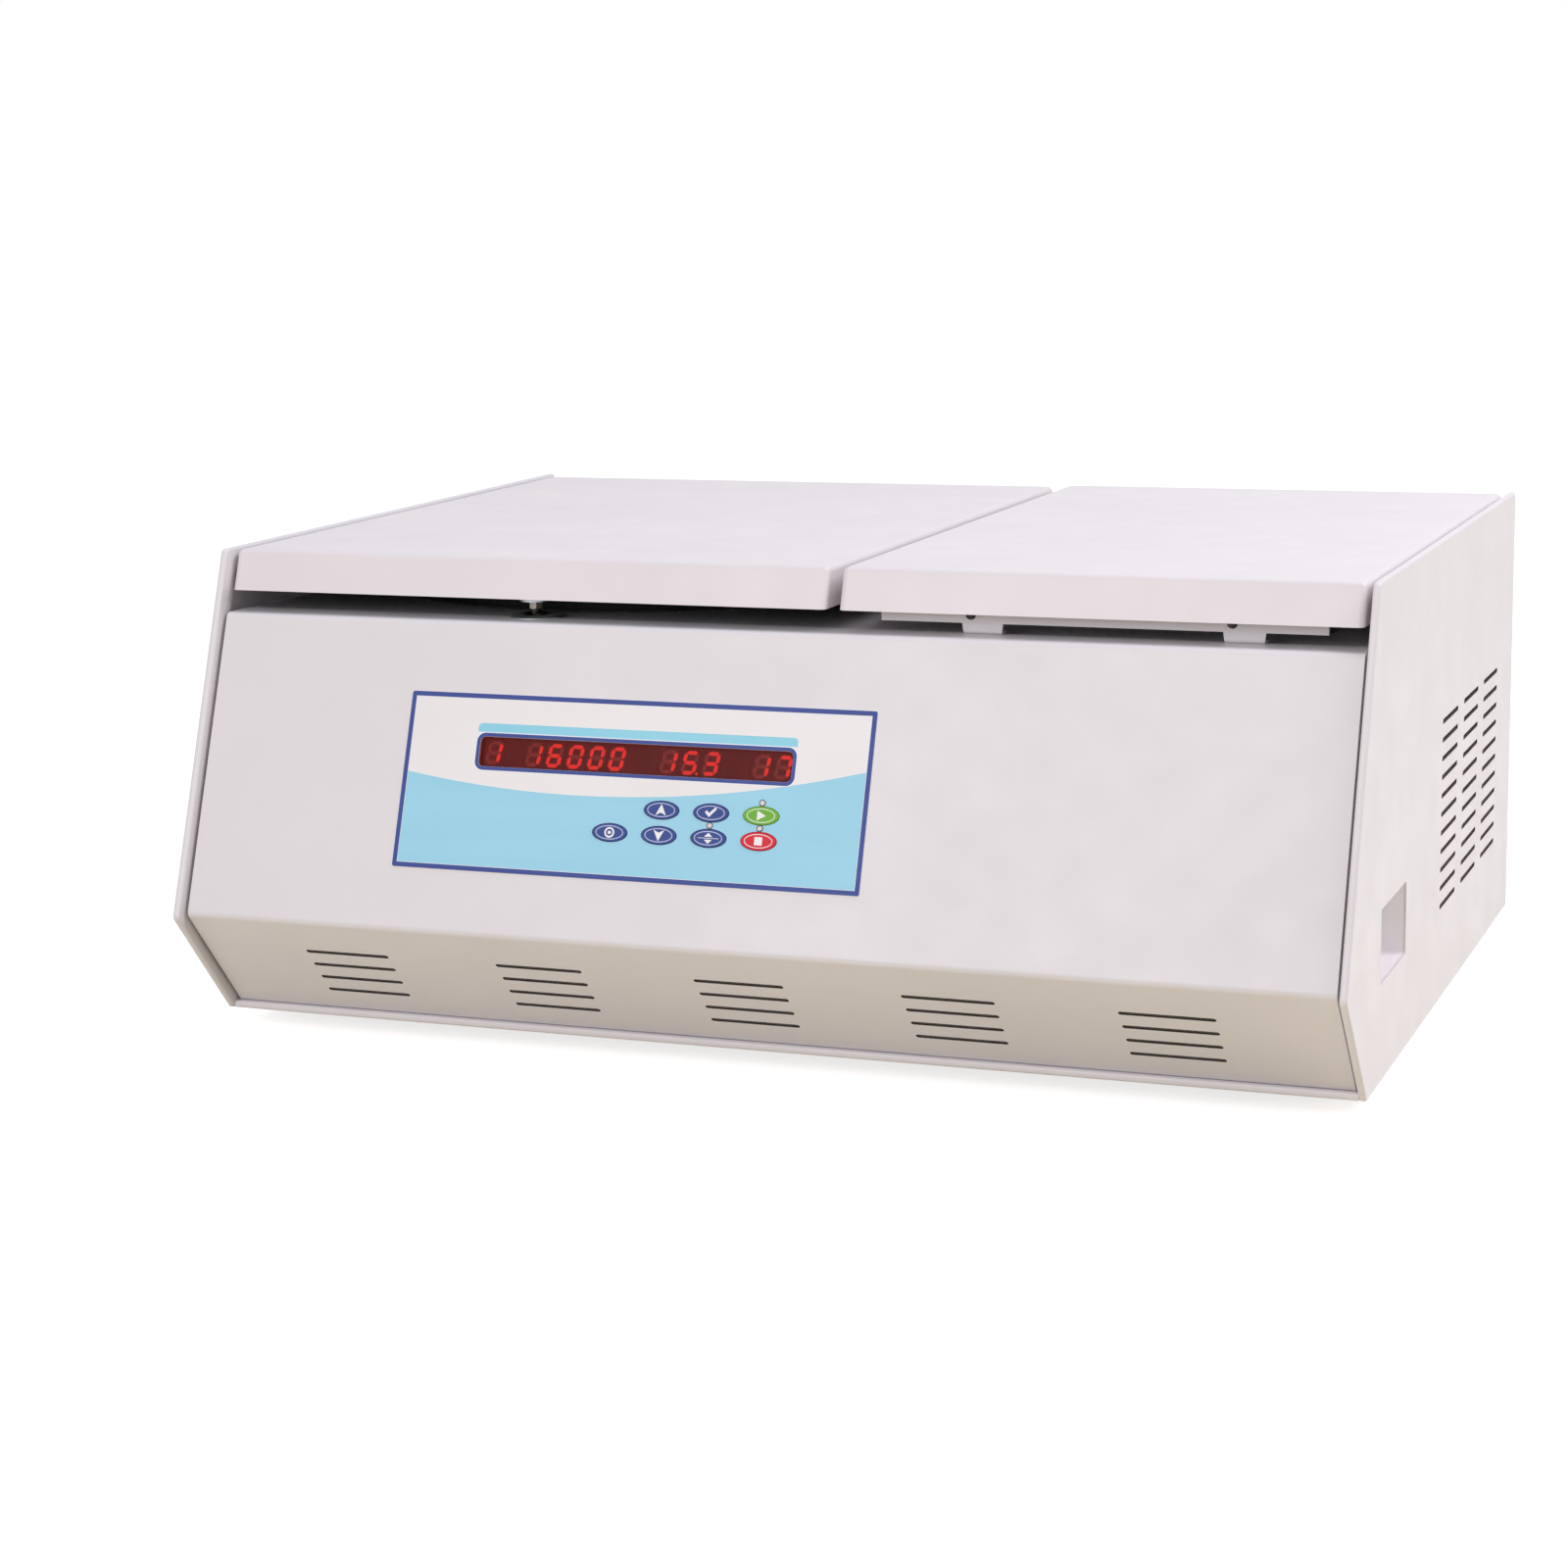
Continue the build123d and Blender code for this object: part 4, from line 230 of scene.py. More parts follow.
def ground_steel():
    """Centreless-ground steel pins: bright, nearly mirror, with faint grinding marks 0.3 mm
    apart."""
    made, tree, shader, place = begin("ground_steel", Metallic=1.0, Roughness=0.22)
    mottled(tree, place, shader, 6, "#a9a29a", "#c2bdb6")
    marks = add(tree, "Mapping", {"Vector": place, "Scale": (1.0, 0.05, 1.0)}).outputs["Vector"]
    relief(tree, marks, shader, 0.3, 0.001)
    return made


def blackened_steel():
    """Black-oxide steel: dark, oily satin, with brown where the oxide is thin, in 3 mm patches."""
    made, tree, shader, place = begin("blackened_steel", Metallic=1.0, Roughness=0.4)
    mottled(tree, place, shader, 3, "#2a2827", "#3d3935")
    uneven_gloss(tree, place, shader, 2, 0.3, 0.5)
    return made


def turned_steel_painted_shade():
    """Turned steel nut with an oil film: warm grey, darker than bare steel as painted shade for its place under
    the lid, with tool rings 0.6 mm apart along its axis.
    """
    made, tree, shader, place = begin("turned_steel_painted_shade", Metallic=1.0, Roughness=0.35)
    # painted shade: the nut's grey is darker than bare steel because it sits in shade under the lid
    mottled(tree, place, shader, 5, "#837a72", "#a0968c")
    marks = add(tree, "Mapping", {"Vector": place, "Scale": (0.1, 0.1, 1.0)}).outputs["Vector"]
    relief(tree, marks, shader, 0.6, 0.004)
    return made


def zinc_plate():
    """Bright zinc plate on small screws: silver with a faint blue and yellow cast."""
    made, tree, shader, place = begin("zinc_plate", Metallic=1.0, Roughness=0.28)
    mottled(tree, place, shader, 2, "#b4b9be", "#c4c2b6")
    uneven_gloss(tree, place, shader, 1.5, 0.22, 0.36)
    return made


def bead_blasted_casting():
    """Cast aluminium, bead blasted: matt silver grey with a fine even grain of 0.8 mm."""
    made, tree, shader, place = begin("bead_blasted_casting", Metallic=1.0, Roughness=0.5)
    mottled(tree, place, shader, 12, "#a7a9ab", "#b8babb")
    relief(tree, place, shader, 0.8, 0.03, 4.0)
    return made


def anodised(name, first, second, smooth, rough):
    """Anodised aluminium, turned or milled and then dyed: an even satin metal with tool lines
    0.5 mm apart."""
    made, tree, shader, place = begin(name, Metallic=1.0, Roughness=rough)
    mottled(tree, place, shader, 20, first, second)
    uneven_gloss(tree, place, shader, 8, smooth, rough)
    marks = add(tree, "Mapping", {"Vector": place, "Scale": (0.1, 1.0, 1.0)}).outputs["Vector"]
    relief(tree, marks, shader, 0.5, 0.002)
    return made


def copper_tube():
    """Drawn copper tube: warm red metal with brown tarnish in patches about 15 mm wide."""
    made, tree, shader, place = begin("copper_tube", Metallic=1.0, Roughness=0.35)
    mottled(tree, place, shader, 15, "#a5613f", "#c98763", 5.0)
    uneven_gloss(tree, place, shader, 10, 0.25, 0.5)
    return made


def condenser_fins():
    """Epoxy-coated condenser fins: dull brown, copper where the tubes run through every 22 mm."""
    made, tree, shader, place = begin("condenser_fins", Roughness=0.55, IOR=1.5)
    settings = {"Vector": place, "Scale": WAVE / (22 * MM), "Distortion": 0.4}
    rows = add(tree, "TexWave", settings, bands_direction="Z")
    tube = add(tree, "MapRange", {"Value": rows.outputs["Fac"], "From Min": 0.82, "From Max": 0.9})
    tone = {0: tube.outputs["Result"], 6: linear("#3a2a22"), 7: linear("#9a4e30")}
    banded = add(tree, "Mix", tone, data_type="RGBA").outputs[2]
    tree.links.new(banded, shader.inputs["Base Color"])
    relief(tree, place, shader, 2, 0.05)
    return made


def black_enamel():
    """Baked black enamel on pressed and welded cans: glossy, with slight runs and dust."""
    made, tree, shader, place = begin("black_enamel", Roughness=0.2, IOR=1.52)
    mottled(tree, place, shader, 30, "#0e0e10", "#191a1c")
    uneven_gloss(tree, place, shader, 18, 0.12, 0.3)
    relief(tree, place, shader, 5, 0.02)
    return made


def moulded(name, first, second, rough, spacing, depth):
    """Injection-moulded plastic: colour right through, with the spark-eroded grain of its mould."""
    made, tree, shader, place = begin(name, Roughness=rough, IOR=1.53)
    mottled(tree, place, shader, 35, first, second)
    uneven_gloss(tree, place, shader, 12, rough - 0.06, rough + 0.06)
    relief(tree, place, shader, spacing, depth)
    return made


def black_rubber():
    """Moulded EPDM rubber: matt black with a grey bloom in patches about 20 mm wide."""
    made, tree, shader, place = begin("black_rubber", Roughness=0.75, IOR=1.52)
    mottled(tree, place, shader, 20, "#161616", "#262524", 5.0)
    uneven_gloss(tree, place, shader, 6, 0.65, 0.85)
    relief(tree, place, shader, 1.2, 0.02)
    return made


def foam_block():
    """Closed-cell foam: cream, matt, with cells drawn at 2.5 mm, coarser than real, so that they
    show."""
    made, tree, shader, place = begin("foam_block", Roughness=0.9, IOR=1.45)
    mottled(tree, place, shader, 30, "#d8d0b2", "#e6dfc6")
    cell = add(tree, "TexVoronoi", {"Vector": place, "Scale": 1 / (2.5 * MM)}).outputs["Distance"]
    bump = add(tree, "Bump", {"Height": cell, "Distance": 0.3 * MM, "Strength": 0.7})
    tree.links.new(bump.outputs["Normal"], shader.inputs["Normal"])
    return made


def polyester_film():
    """Polyester overlay film: off-white ground, matt hard coat with a fine emboss of 0.6 mm."""
    made, tree, shader, place = begin("polyester_film", Roughness=0.42, IOR=1.57)
    mottled(tree, place, shader, 60, "#e9e5e4", "#ebe8e7")
    relief(tree, place, shader, 0.6, 0.004)
    return made


def screen_ink(name, first, second):
    """Screen-printed ink on the film: a flat colour, a little uneven where the squeegee ran."""
    made, tree, shader, place = begin(name, Roughness=0.42, IOR=1.5, Specular_IOR_Level=0.25)
    pull = add(tree, "Mapping", {"Vector": place, "Scale": (0.15, 1.0, 1.0)}).outputs["Vector"]
    mottled(tree, pull, shader, 14, first, second)
    relief(tree, place, shader, 0.6, 0.003)
    return made


def red_window():
    """Red-tinted acrylic window with a coat against glare: see-through, so that the digits glow
    behind it."""
    made, tree, shader, place = begin("red_window", Roughness=0.2, IOR=1.49, Alpha=0.35,
                                      Specular_IOR_Level=0.05)
    mottled(tree, place, shader, 25, "#7a1c15", "#842119")
    uneven_gloss(tree, place, shader, 15, 0.15, 0.25)
    return made


def lit_segment():
    """Lit LED segment: red light, a little stronger in the middle of each 1.5 mm chip."""
    made, tree, shader, place = begin("lit_segment", Roughness=0.5, Emission_Strength=1.25)
    glow = add(tree, "TexNoise", {"Vector": place, "Scale": 1 / (1.5 * MM)})
    tone = {0: glow.outputs["Fac"], 6: linear("#e2241f"), 7: linear("#f3342c")}
    light = add(tree, "Mix", tone, data_type="RGBA").outputs[2]
    tree.links.new(light, shader.inputs["Emission Color"])
    tree.links.new(light, shader.inputs["Base Color"])
    return made


def unlit_segment():
    """Unlit LED segment: milky epoxy that looks dull red behind the window, with a faint painted glow in its own
    colour, though it is no lamp."""
    made, tree, shader, place = begin("unlit_segment", Roughness=0.45, Emission_Strength=0.25)
    tone = mottled(tree, place, shader, 3, "#8a2f2c", "#9a3a34")
    # painted light: the unlit segment's own colour also glows faintly
    tree.links.new(tone, shader.inputs["Emission Color"])
    return made


def milky_lens():
    """Unlit indicator lens: milky grey epoxy with a soft gloss and a little light under its
    skin."""
    made, tree, shader, place = begin("milky_lens", Roughness=0.25, IOR=1.5, Subsurface_Weight=0.3,
                                      Subsurface_Radius=(0.6, 0.5, 0.4), Subsurface_Scale=1.0 * MM)
    mottled(tree, place, shader, 2, "#cdc7c1", "#dcd7d2")
    return made


def solder_mask():
    """Circuit board under green solder mask: glossy green with copper runs 3 mm apart."""
    made, tree, shader, place = begin("solder_mask", Roughness=0.3, IOR=1.5)
    runs = add(tree, "TexWave", {"Vector": place, "Scale": WAVE / (3 * MM), "Distortion": 2.0})
    track = add(tree, "MapRange",
                {"Value": runs.outputs["Fac"], "From Min": 0.55, "From Max": 0.65})
    tone = {0: track.outputs["Result"], 6: linear("#0d3b1f"), 7: linear("#1c6a38")}
    printed_board = add(tree, "Mix", tone, data_type="RGBA").outputs[2]
    tree.links.new(printed_board, shader.inputs["Base Color"])
    relief(tree, place, shader, 3, 0.02)
    return made


cabinet_coat = powder_coat("cabinet_powder_coat", *COAT)
front_coat = slotted_front_coat()
side_coat = slotted_side_coat()
lid_coat = powder_coat("lid_powder_coat", "#e1dbdc", "#e4dede")
# painted shade: the lid's liner is near-black so that the gap under the lid reads dark
liner_coat_painted_shade = powder_coat("liner_painted_shade_coat", "#1b1a1b", "#242325")
galvanised = galvanised_sheet()
stainless = brushed_stainless()
bowl_steel = spun_stainless()
pin_steel = ground_steel()
zinc = zinc_plate()
black_steel = blackened_steel()
nut_steel_painted_shade = turned_steel_painted_shade()
casting = bead_blasted_casting()
rotor_metal = anodised("dark_anodised_aluminium", "#34363a", "#404247", 0.3, 0.42)
bucket_metal = anodised("clear_anodised_aluminium", "#b6b9bc", "#c8cacc", 0.28, 0.38)
copper = copper_tube()
fins = condenser_fins()
enamel = black_enamel()
black_abs = moulded("black_abs", "#121214", "#1a1a1c", 0.42, 1.0, 0.01)
white_abs = moulded("off_white_abs", "#f6f3f6", "#faf7fa", 0.34, 1.0, 0.008)
fan_nylon = moulded("black_nylon", "#0e0e0f", "#171717", 0.38, 2.0, 0.006)
module_face = moulded("led_module_black", "#240807", "#2e0b09", 0.6, 1.0, 0.005)
rubber = black_rubber()
foam = foam_block()
film = polyester_film()
blue_key = screen_ink("blue_key_ink", "#2d4387", "#33498e")
green_key = screen_ink("green_key_ink", "#6aaf28", "#72b532")
red_key = screen_ink("red_key_ink", "#d4182a", "#da2032")
border_ink = screen_ink("border_blue_ink", "#36498f", "#3c4f95")
field_ink = screen_ink("light_blue_ink", "#9dd6ea", "#a1d9ed")
strip_ink = screen_ink("sky_blue_ink", "#8fd3e6", "#97d8ea")
white_ink = screen_ink("white_ink", "#f2f1f2", "#f7f6f7")
pale_blue_ink = screen_ink("pale_blue_ink", "#cdd6ee", "#d4dcf1")
rim_ink = screen_ink("dark_rim_ink", "#2b292b", "#353336")
window = red_window()
lit = lit_segment()
unlit = unlit_segment()
lens = milky_lens()
board = solder_mask()

FINISH_OF_SLOT = {
    "cabinet_paint": cabinet_coat, "lid_paint": lid_coat, "liner_paint": liner_coat_painted_shade,
    "galvanised_steel": galvanised, "stainless_steel": stainless, "steel_pin": pin_steel,
    "zinc_screw": zinc, "cast_aluminium": casting, "anodised_rotor": rotor_metal,
    "bucket_metal": bucket_metal, "copper_tube": copper, "black_enamel": enamel,
    "black_plastic": black_abs, "pocket_plastic": white_abs, "dark_rubber": rubber,
    "grey_feet": rubber, "foam": foam, "overlay_film": film, "red_filter": window,
    "display_black": module_face, "circuit_board": board, "lamp_lens": lens,
    "key_blue": blue_key, "key_green": green_key, "key_red": red_key,
}
FINISH_OF_NODE = {
    "front_panel": front_coat, "left_side_panel": side_coat, "right_side_panel": side_coat,
    "chamber_bowl": bowl_steel, "condenser": fins, "fan_blades": fan_nylon,
    "cover_screws": black_steel, "lid_striker": black_steel, "lid_lock": galvanised,
}


def dress(piece, finish):
    """Gives a piece one finish, in a slot of its own or in the slots that it has."""
    if not piece.material_slots:
        piece.data.materials.append(finish)
    for slot in piece.material_slots:
        slot.material = finish


for part in frame["record"]["subparts"]:
    node = part["node"]
    dress(frame["nodes"][node], FINISH_OF_NODE.get(node, FINISH_OF_SLOT[part["material_slot"]]))


# ================================================================ making meshes
def mesh_piece(name, points, faces, finish, body):
    """A finished piece: points in metres in the shared frame, riding on a body."""
    mesh = bpy.data.meshes.new(name)
    mesh.from_pydata(points, [], faces)
    mesh.update()
    piece = bpy.data.objects.new(name, mesh)
    bpy.context.scene.collection.objects.link(piece)
    dress(piece, finish)
    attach(piece, body)


def walls(rings, count, start=0, closed=False, pitch=None):
    """Faces between rings of so many points, each ring joined to the next, and the last to the
    first where closed. Point i of ring k has the number start + k * pitch + i, and the pitch is the
    count unless other points lie between. Rings run anticlockwise and rise on the outside."""
    pitch = pitch or count
    low = np.arange(rings if closed else rings - 1)[:, None] * pitch
    high = (low + pitch) % (rings * pitch)
    here = np.arange(count)
    after = np.roll(here, -1)
    corners = np.stack([low + here, low + after, high + after, high + here], axis=-1)
    return list(map(tuple, corners.reshape(-1, 4) + start))


def filled(rings, count, start=0):
    """Faces of a body of rings: the walls between them, with the first and the last ring filled."""
    here = np.arange(count) + start
    ends = [tuple(here[::-1]), tuple(here + (rings - 1) * count)]
    return ends + walls(rings, count, start)


def on_overlay(flat, out):
    """Points given from the overlay's lower left corner, lifted off its face by so much."""
    flat = np.asarray(flat, float)
    lift = np.broadcast_to(out, len(flat))
    axes = np.array([ACROSS, UP, OUT])
    return np.array(OVERLAY_CORNER) + np.column_stack([flat, lift]) @ axes * MM


def prism(outline, low, high, start=0):
    """Closed prism on the overlay: an anticlockwise outline carried from low to high."""
    points = np.vstack([on_overlay(outline, low), on_overlay(outline, high)])
    return points, filled(2, len(outline), start)


def hoop(outer, inner, low, high, start=0):
    """Closed ring on the overlay, from low to high, between two outlines of as many points each."""
    rings = (outer, low), (outer, high), (inner, high), (inner, low)
    points = np.vstack([on_overlay(outline, out) for outline, out in rings])
    return points, walls(len(rings), len(outer), start, closed=True)


def pierced(outline, holes, low, high, start=0):
    """Closed flat plate on the overlay, from low to high: an anticlockwise outline with holes. Its
    two faces are cut into triangles, turned so that their cross product points out, and a wall
    follows the outline and each hole."""
    loops = [np.asarray(outline), *(hole[::-1] for hole in holes)]
    flat = np.vstack(loops)
    count = len(flat)
    points = np.vstack([on_overlay(flat, low), on_overlay(flat, high)])
    corners = [[Vector((*point, 0.0)) for point in loop] for loop in loops]
    triangles = np.array(tessellate_polygon(corners))
    first, second, third = (flat[triangles[:, i]] for i in range(3))
    turn = np.cross(second - first, third - first)
    top = np.where(turn[:, None] > 0, triangles, triangles[:, ::-1])
    faces = [*map(tuple, top + count + start), *map(tuple, top[:, ::-1] + start)]
    begun = start
    for loop in loops:
        faces += walls(2, len(loop), begun, pitch=count)
        begun += len(loop)
    return points, faces


def printed(name, shapes, finish, body="cabinet"):
    """One piece from several shapes on the overlay, each given as the function that makes it and
    what that function needs."""
    points, faces = np.empty((0, 3)), []
    for make, *sizes in shapes:
        more, sides = make(*sizes, start=len(points))
        points = np.vstack([points, more])
        faces += sides
    mesh_piece(name, points, faces, finish, body)


def full_turn(steps):
    """Angles of so many even steps round a circle."""
    return np.linspace(0, 2 * np.pi, steps, endpoint=False)


def ellipse(x, y, across, up, steps=48):
    """Ellipse round a middle: (across cos t, up sin t)."""
    turn = full_turn(steps)
    return np.column_stack([x + across * np.cos(turn), y + up * np.sin(turn)])


def rounded(left, low, right, high, radius, steps=8):
    """Rounded rectangle, anticlockwise: four quarter circles round the inset corners."""
    turn = np.linspace(0, np.pi / 2, steps)
    corners = [(right - radius, high - radius), (left + radius, high - radius),
               (left + radius, low + radius), (right - radius, low + radius)]
    arcs = []
    for i, (x, y) in enumerate(corners):
        angle = turn + i * np.pi / 2
        arcs.append(np.column_stack([x + radius * np.cos(angle), y + radius * np.sin(angle)]))
    return np.vstack(arcs)


def moved(outline, x, y):
    """An outline moved across and up."""
    return np.asarray(outline, float) + (x, y)


# ================================================================ sizes on the overlay
# All are from its lower left corner.
INK = 0.04                      # thickness of a printed layer
SUNK = -0.01                    # how far a layer is let into what it lies on
OVERLAY_ROUND = 1.2             # radius of the overlay's corners
BORDER, BORDER_ROUND = 2.7, 0.3             # blue border: width and radius of its inner corners
BORDER_LINE = 0.3               # off-white line inside the border
FIELD_LOW, FIELD_MIDDLE, FIELD_CURVE = 46.2, 111.0, 0.000767    # curve over the light blue field
WINDOW_LEFT, WINDOW_RIGHT, WINDOW_LOW, WINDOW_HIGH = 46.1, 235.0, 59.9, 77.1
WINDOW_ROUND = 3.0              # radius of the window's corners
WINDOW_GAP = 0.05               # between the window and its band
WINDOW_BAND, WINDOW_LINE = 2.1, 0.5         # widths of the blue band and of the white line round it
STRIP_RISE, STRIP_ROUND = 7.6, 2.6          # heading strip: above the window, and its corners

KEY_RISE = 0.6                  # flat top of a key above the overlay
KEY_FIRST, KEY_PITCH = 131.6, 29.5          # first column, and from column to column
KEY_LOWER, KEY_ROW_PITCH = 26.5, 14.15      # lower row, and from row to row
KEY_OPENING = (10.8, 5.42)      # half the length and half the width of a key's opening
KEY_PLACES = {                  # column and row
    "key_set_left": (0, 0), "key_down": (1, 0), "key_mode": (2, 0), "key_stop": (3, 0),
    "key_up": (1, 1), "key_set_right": (2, 1), "key_start": (3, 1),
}
KEY_RING = (8.3, 3.95)          # half the length and half the width of the ring printed on a key
KEY_RING_LINE = 0.42            # width of that ring's line
LIGHT_UPPER = 47.7              # light over the start key
LIGHT_OPENING = 1.55            # radius of a light's opening
LIGHT_RIM = (1.95, 1.4)         # outer and inner radius of the rim printed round a light

READING = ((53.7, "1"), (78.6, "16000"), (160.6, "153"), (215.9, "17"))     # fields of the display
POINT_FIELD = 2                 # the field with a decimal point, after its second digit
POINT_ASIDE, POINT_BELOW, POINT_RADIUS = 4.6, 5.9, 0.8      # the point, from that digit's middle
DIGIT_PITCH = 12.7              # from digit to digit
DIGIT_MIDDLE = 68.5             # height of the digits' middles
HALF_DIGIT = (3.4, 5.65)        # half the width and half the height between segment middles
STROKE = 1.1                    # half the width of a segment
SEGMENT_GAP = 0.18              # between a segment's tip and the corner
SEGMENT_RISE = 0.1              # segment above the module's face
SLANT = np.tan(radians(9))
MODULE_FACE = -3.7              # front of the LED modules, behind the overlay's face
MODULE_WIDTH, MODULE_GAP = 12.5, 0.2        # one module, and from the last one to a card
CARD_HALF, CARD_DEPTH, CARD_ROUND = 9.5, 1.0, 0.2           # cards between the groups of modules


# ================================================================ print on the overlay
def key_middle(column, row):
    """Middle of a key: first column and row plus so many pitches."""
    return KEY_FIRST + column * KEY_PITCH, KEY_LOWER + row * KEY_ROW_PITCH


def light_middles():
    """Middles of the three status lights: over the start key, and between rows in two columns."""
    return (KEY_FIRST + 3 * KEY_PITCH, LIGHT_UPPER), key_middle(3, 0.5), key_middle(2, 0.5)


def border_print():
    """Blue border along the overlay's edge, between two rounded rectangles."""
    outer = rounded(0, 0, OVERLAY_WIDTH, OVERLAY_HEIGHT, OVERLAY_ROUND)
    inner = rounded(BORDER, BORDER, OVERLAY_WIDTH - BORDER, OVERLAY_HEIGHT - BORDER, BORDER_ROUND)
    printed("overlay_border", [(hoop, outer, inner, SUNK, INK)], border_ink)


def field_print():
    """Light blue lower field under a sagging curve, up = low + curve * (across - middle) squared,
    with the openings of the keys and lights."""
    edge = BORDER + BORDER_LINE
    across = np.linspace(OVERLAY_WIDTH - edge, edge, 60)
    top = FIELD_LOW + FIELD_CURVE * (across - FIELD_MIDDLE) ** 2
    bottom = np.array([(edge, edge), (OVERLAY_WIDTH - edge, edge)])
    outline = np.vstack([np.column_stack([across, top]), bottom])
    openings = [ellipse(*key_middle(*place), *KEY_OPENING) for place in KEY_PLACES.values()]
    openings += [ellipse(x, y, LIGHT_OPENING, LIGHT_OPENING, 24) for x, y in light_middles()]
    printed("overlay_lower_field", [(pierced, outline, openings, SUNK, INK / 2)], field_ink)


def window_print():
    """Blue band round the window with a white line round it, and a sky-blue strip above, with a
    quarter circle at each upper corner."""
    def band(grow):
        """The window's outline, grown by so much."""
        return rounded(WINDOW_LEFT - grow, WINDOW_LOW - grow, WINDOW_RIGHT + grow,
                       WINDOW_HIGH + grow, WINDOW_ROUND + grow, 10)

    inner, middle, outer = map(band, (WINDOW_GAP, WINDOW_BAND, WINDOW_BAND + WINDOW_LINE))
    printed("window_band", [(hoop, middle, inner, SUNK, INK)], border_ink)
    printed("window_line", [(hoop, outer, middle, SUNK, INK)], white_ink)
    left, right = WINDOW_LEFT - WINDOW_BAND, WINDOW_RIGHT + WINDOW_BAND
    foot, top = WINDOW_HIGH + WINDOW_BAND + WINDOW_LINE, WINDOW_HIGH + STRIP_RISE
    turn = np.linspace(0, np.pi / 2, 8)
    aside, above = STRIP_ROUND * (1 - np.cos(turn)), STRIP_ROUND * (1 - np.sin(turn))
    strip = np.vstack([np.column_stack([right - aside, top - above]),
                       np.column_stack([left + above, top - aside]),
                       [(left, foot), (right, foot)]])
    printed("heading_strip", [(prism, strip, SUNK, INK / 2)], strip_ink)


def light_rims():
    """Dark rim printed round each of the three status lights."""
    outer, inner = LIGHT_RIM
    shapes = [(hoop, ellipse(x, y, outer, outer), ellipse(x, y, inner, inner), SUNK, INK)
              for x, y in light_middles()]
    printed("status_light_rims", shapes, rim_ink)


# ================================================================ print on the keys
def arrow(direction):
    """Notched arrowhead that points up or down."""
    return np.array([(0, 3.3), (-3.2, -3.0), (0, -1.4), (3.2, -3.0)]) * direction


def key_symbols(name, x, y):
    """White symbol on a key, as prisms and rings round its middle: arrows, a triangle, a square, a
    pair of small arrows with a bar, a tick, and a dot in a ring."""
    solid = {
        "key_up": [arrow(1)],
        "key_down": [arrow(-1)],
        "key_start": [[(-2.2, -2.7), (2.9, 0), (-2.2, 2.7)]],
        "key_stop": [rounded(-2.3, -2.3, 2.3, 2.3, 0.25, 3)],
        "key_mode": [rounded(-6.2, -0.15, 6.2, 0.15, 0.05, 2), [(-2.4, 0.8), (2.4, 0.8), (0, 3.1)],
                     [(-2.4, -0.8), (0, -3.1), (2.4, -0.8)]],
        "key_set_right": [[(-0.9, -2.4), (3.5, 2.2), (2.5, 3.2), (-0.9, -0.2), (-2.4, 1.3),
                           (-3.5, 0.2)]],
        "key_set_left": [ellipse(0, 0, 1.0, 1.0, 24)],
    }[name]
    low, high = KEY_RISE + SUNK, KEY_RISE + INK
    shapes = [(prism, moved(outline, x, y), low, high) for outline in solid]
    if name == "key_set_left":
        shapes.append((hoop, ellipse(x, y, 3.0, 3.0), ellipse(x, y, 2.0, 2.0), low, high))
    return shapes


def key_prints():
    """Ring and white symbol on each key; they ride on the key."""
    for name, place in KEY_PLACES.items():
        x, y = key_middle(*place)
        slot = {"key_start": "key_green", "key_stop": "key_red"}.get(name, "key_blue")
        ink = pale_blue_ink if slot == "key_blue" else white_ink
        across, up = KEY_RING
        outer = ellipse(x, y, across, up, 64)
        inner = ellipse(x, y, across - KEY_RING_LINE, up - KEY_RING_LINE, 64)
        ring = (hoop, outer, inner, KEY_RISE + SUNK, KEY_RISE + INK)
        printed(name + "_ring", [ring], ink, name)
        printed(name + "_symbol", key_symbols(name, x, y), white_ink, name)


# ================================================================ digits
SEGMENTS_OF = {"0": "abcdef", "1": "bc", "3": "abcdg", "5": "acdfg", "6": "acdefg", "7": "abc"}


def segment(letter):
    """Six-sided segment of a digit round its middle: a bar with pointed ends, leaned over by
    across + up * slant."""
    across, up = HALF_DIGIT
    ends = {
        "a": ((-across, up), (across, up)), "b": ((across, up), (across, 0)),
        "c": ((across, 0), (across, -up)), "d": ((-across, -up), (across, -up)),
        "e": ((-across, -up), (-across, 0)), "f": ((-across, 0), (-across, up)),
        "g": ((-across, 0), (across, 0)),
    }[letter]
    first, last = (np.array(end, float) for end in ends)
    along = (last - first) / np.linalg.norm(last - first)
    side = np.array([-along[1], along[0]]) * STROKE
    first, last = first + along * SEGMENT_GAP, last - along * SEGMENT_GAP
    tip = along * STROKE
    outline = np.array([first, first + tip - side, last - tip - side,
                        last, last - tip + side, first + tip + side])
    outline[:, 0] += outline[:, 1] * SLANT
    return outline


def digit_prints():
    """Lit and unlit segments on the faces of the LED modules, and the decimal point."""
    low, high = MODULE_FACE + SUNK, MODULE_FACE + SEGMENT_RISE
    shapes = {True: [], False: []}
    for start, digits in READING:
        for i, digit in enumerate(digits):
            for letter in "abcdefg":
                outline = moved(segment(letter), start + i * DIGIT_PITCH, DIGIT_MIDDLE)
                shapes[letter in SEGMENTS_OF[digit]].append((prism, outline, low, high))
    x = READING[POINT_FIELD][0] + DIGIT_PITCH + POINT_ASIDE
    y = DIGIT_MIDDLE - POINT_BELOW
    shapes[True].append((prism, ellipse(x, y, POINT_RADIUS, POINT_RADIUS, 16), low, high))
    printed("lit_segments", shapes[True], lit)
    printed("unlit_segments", shapes[False], unlit)


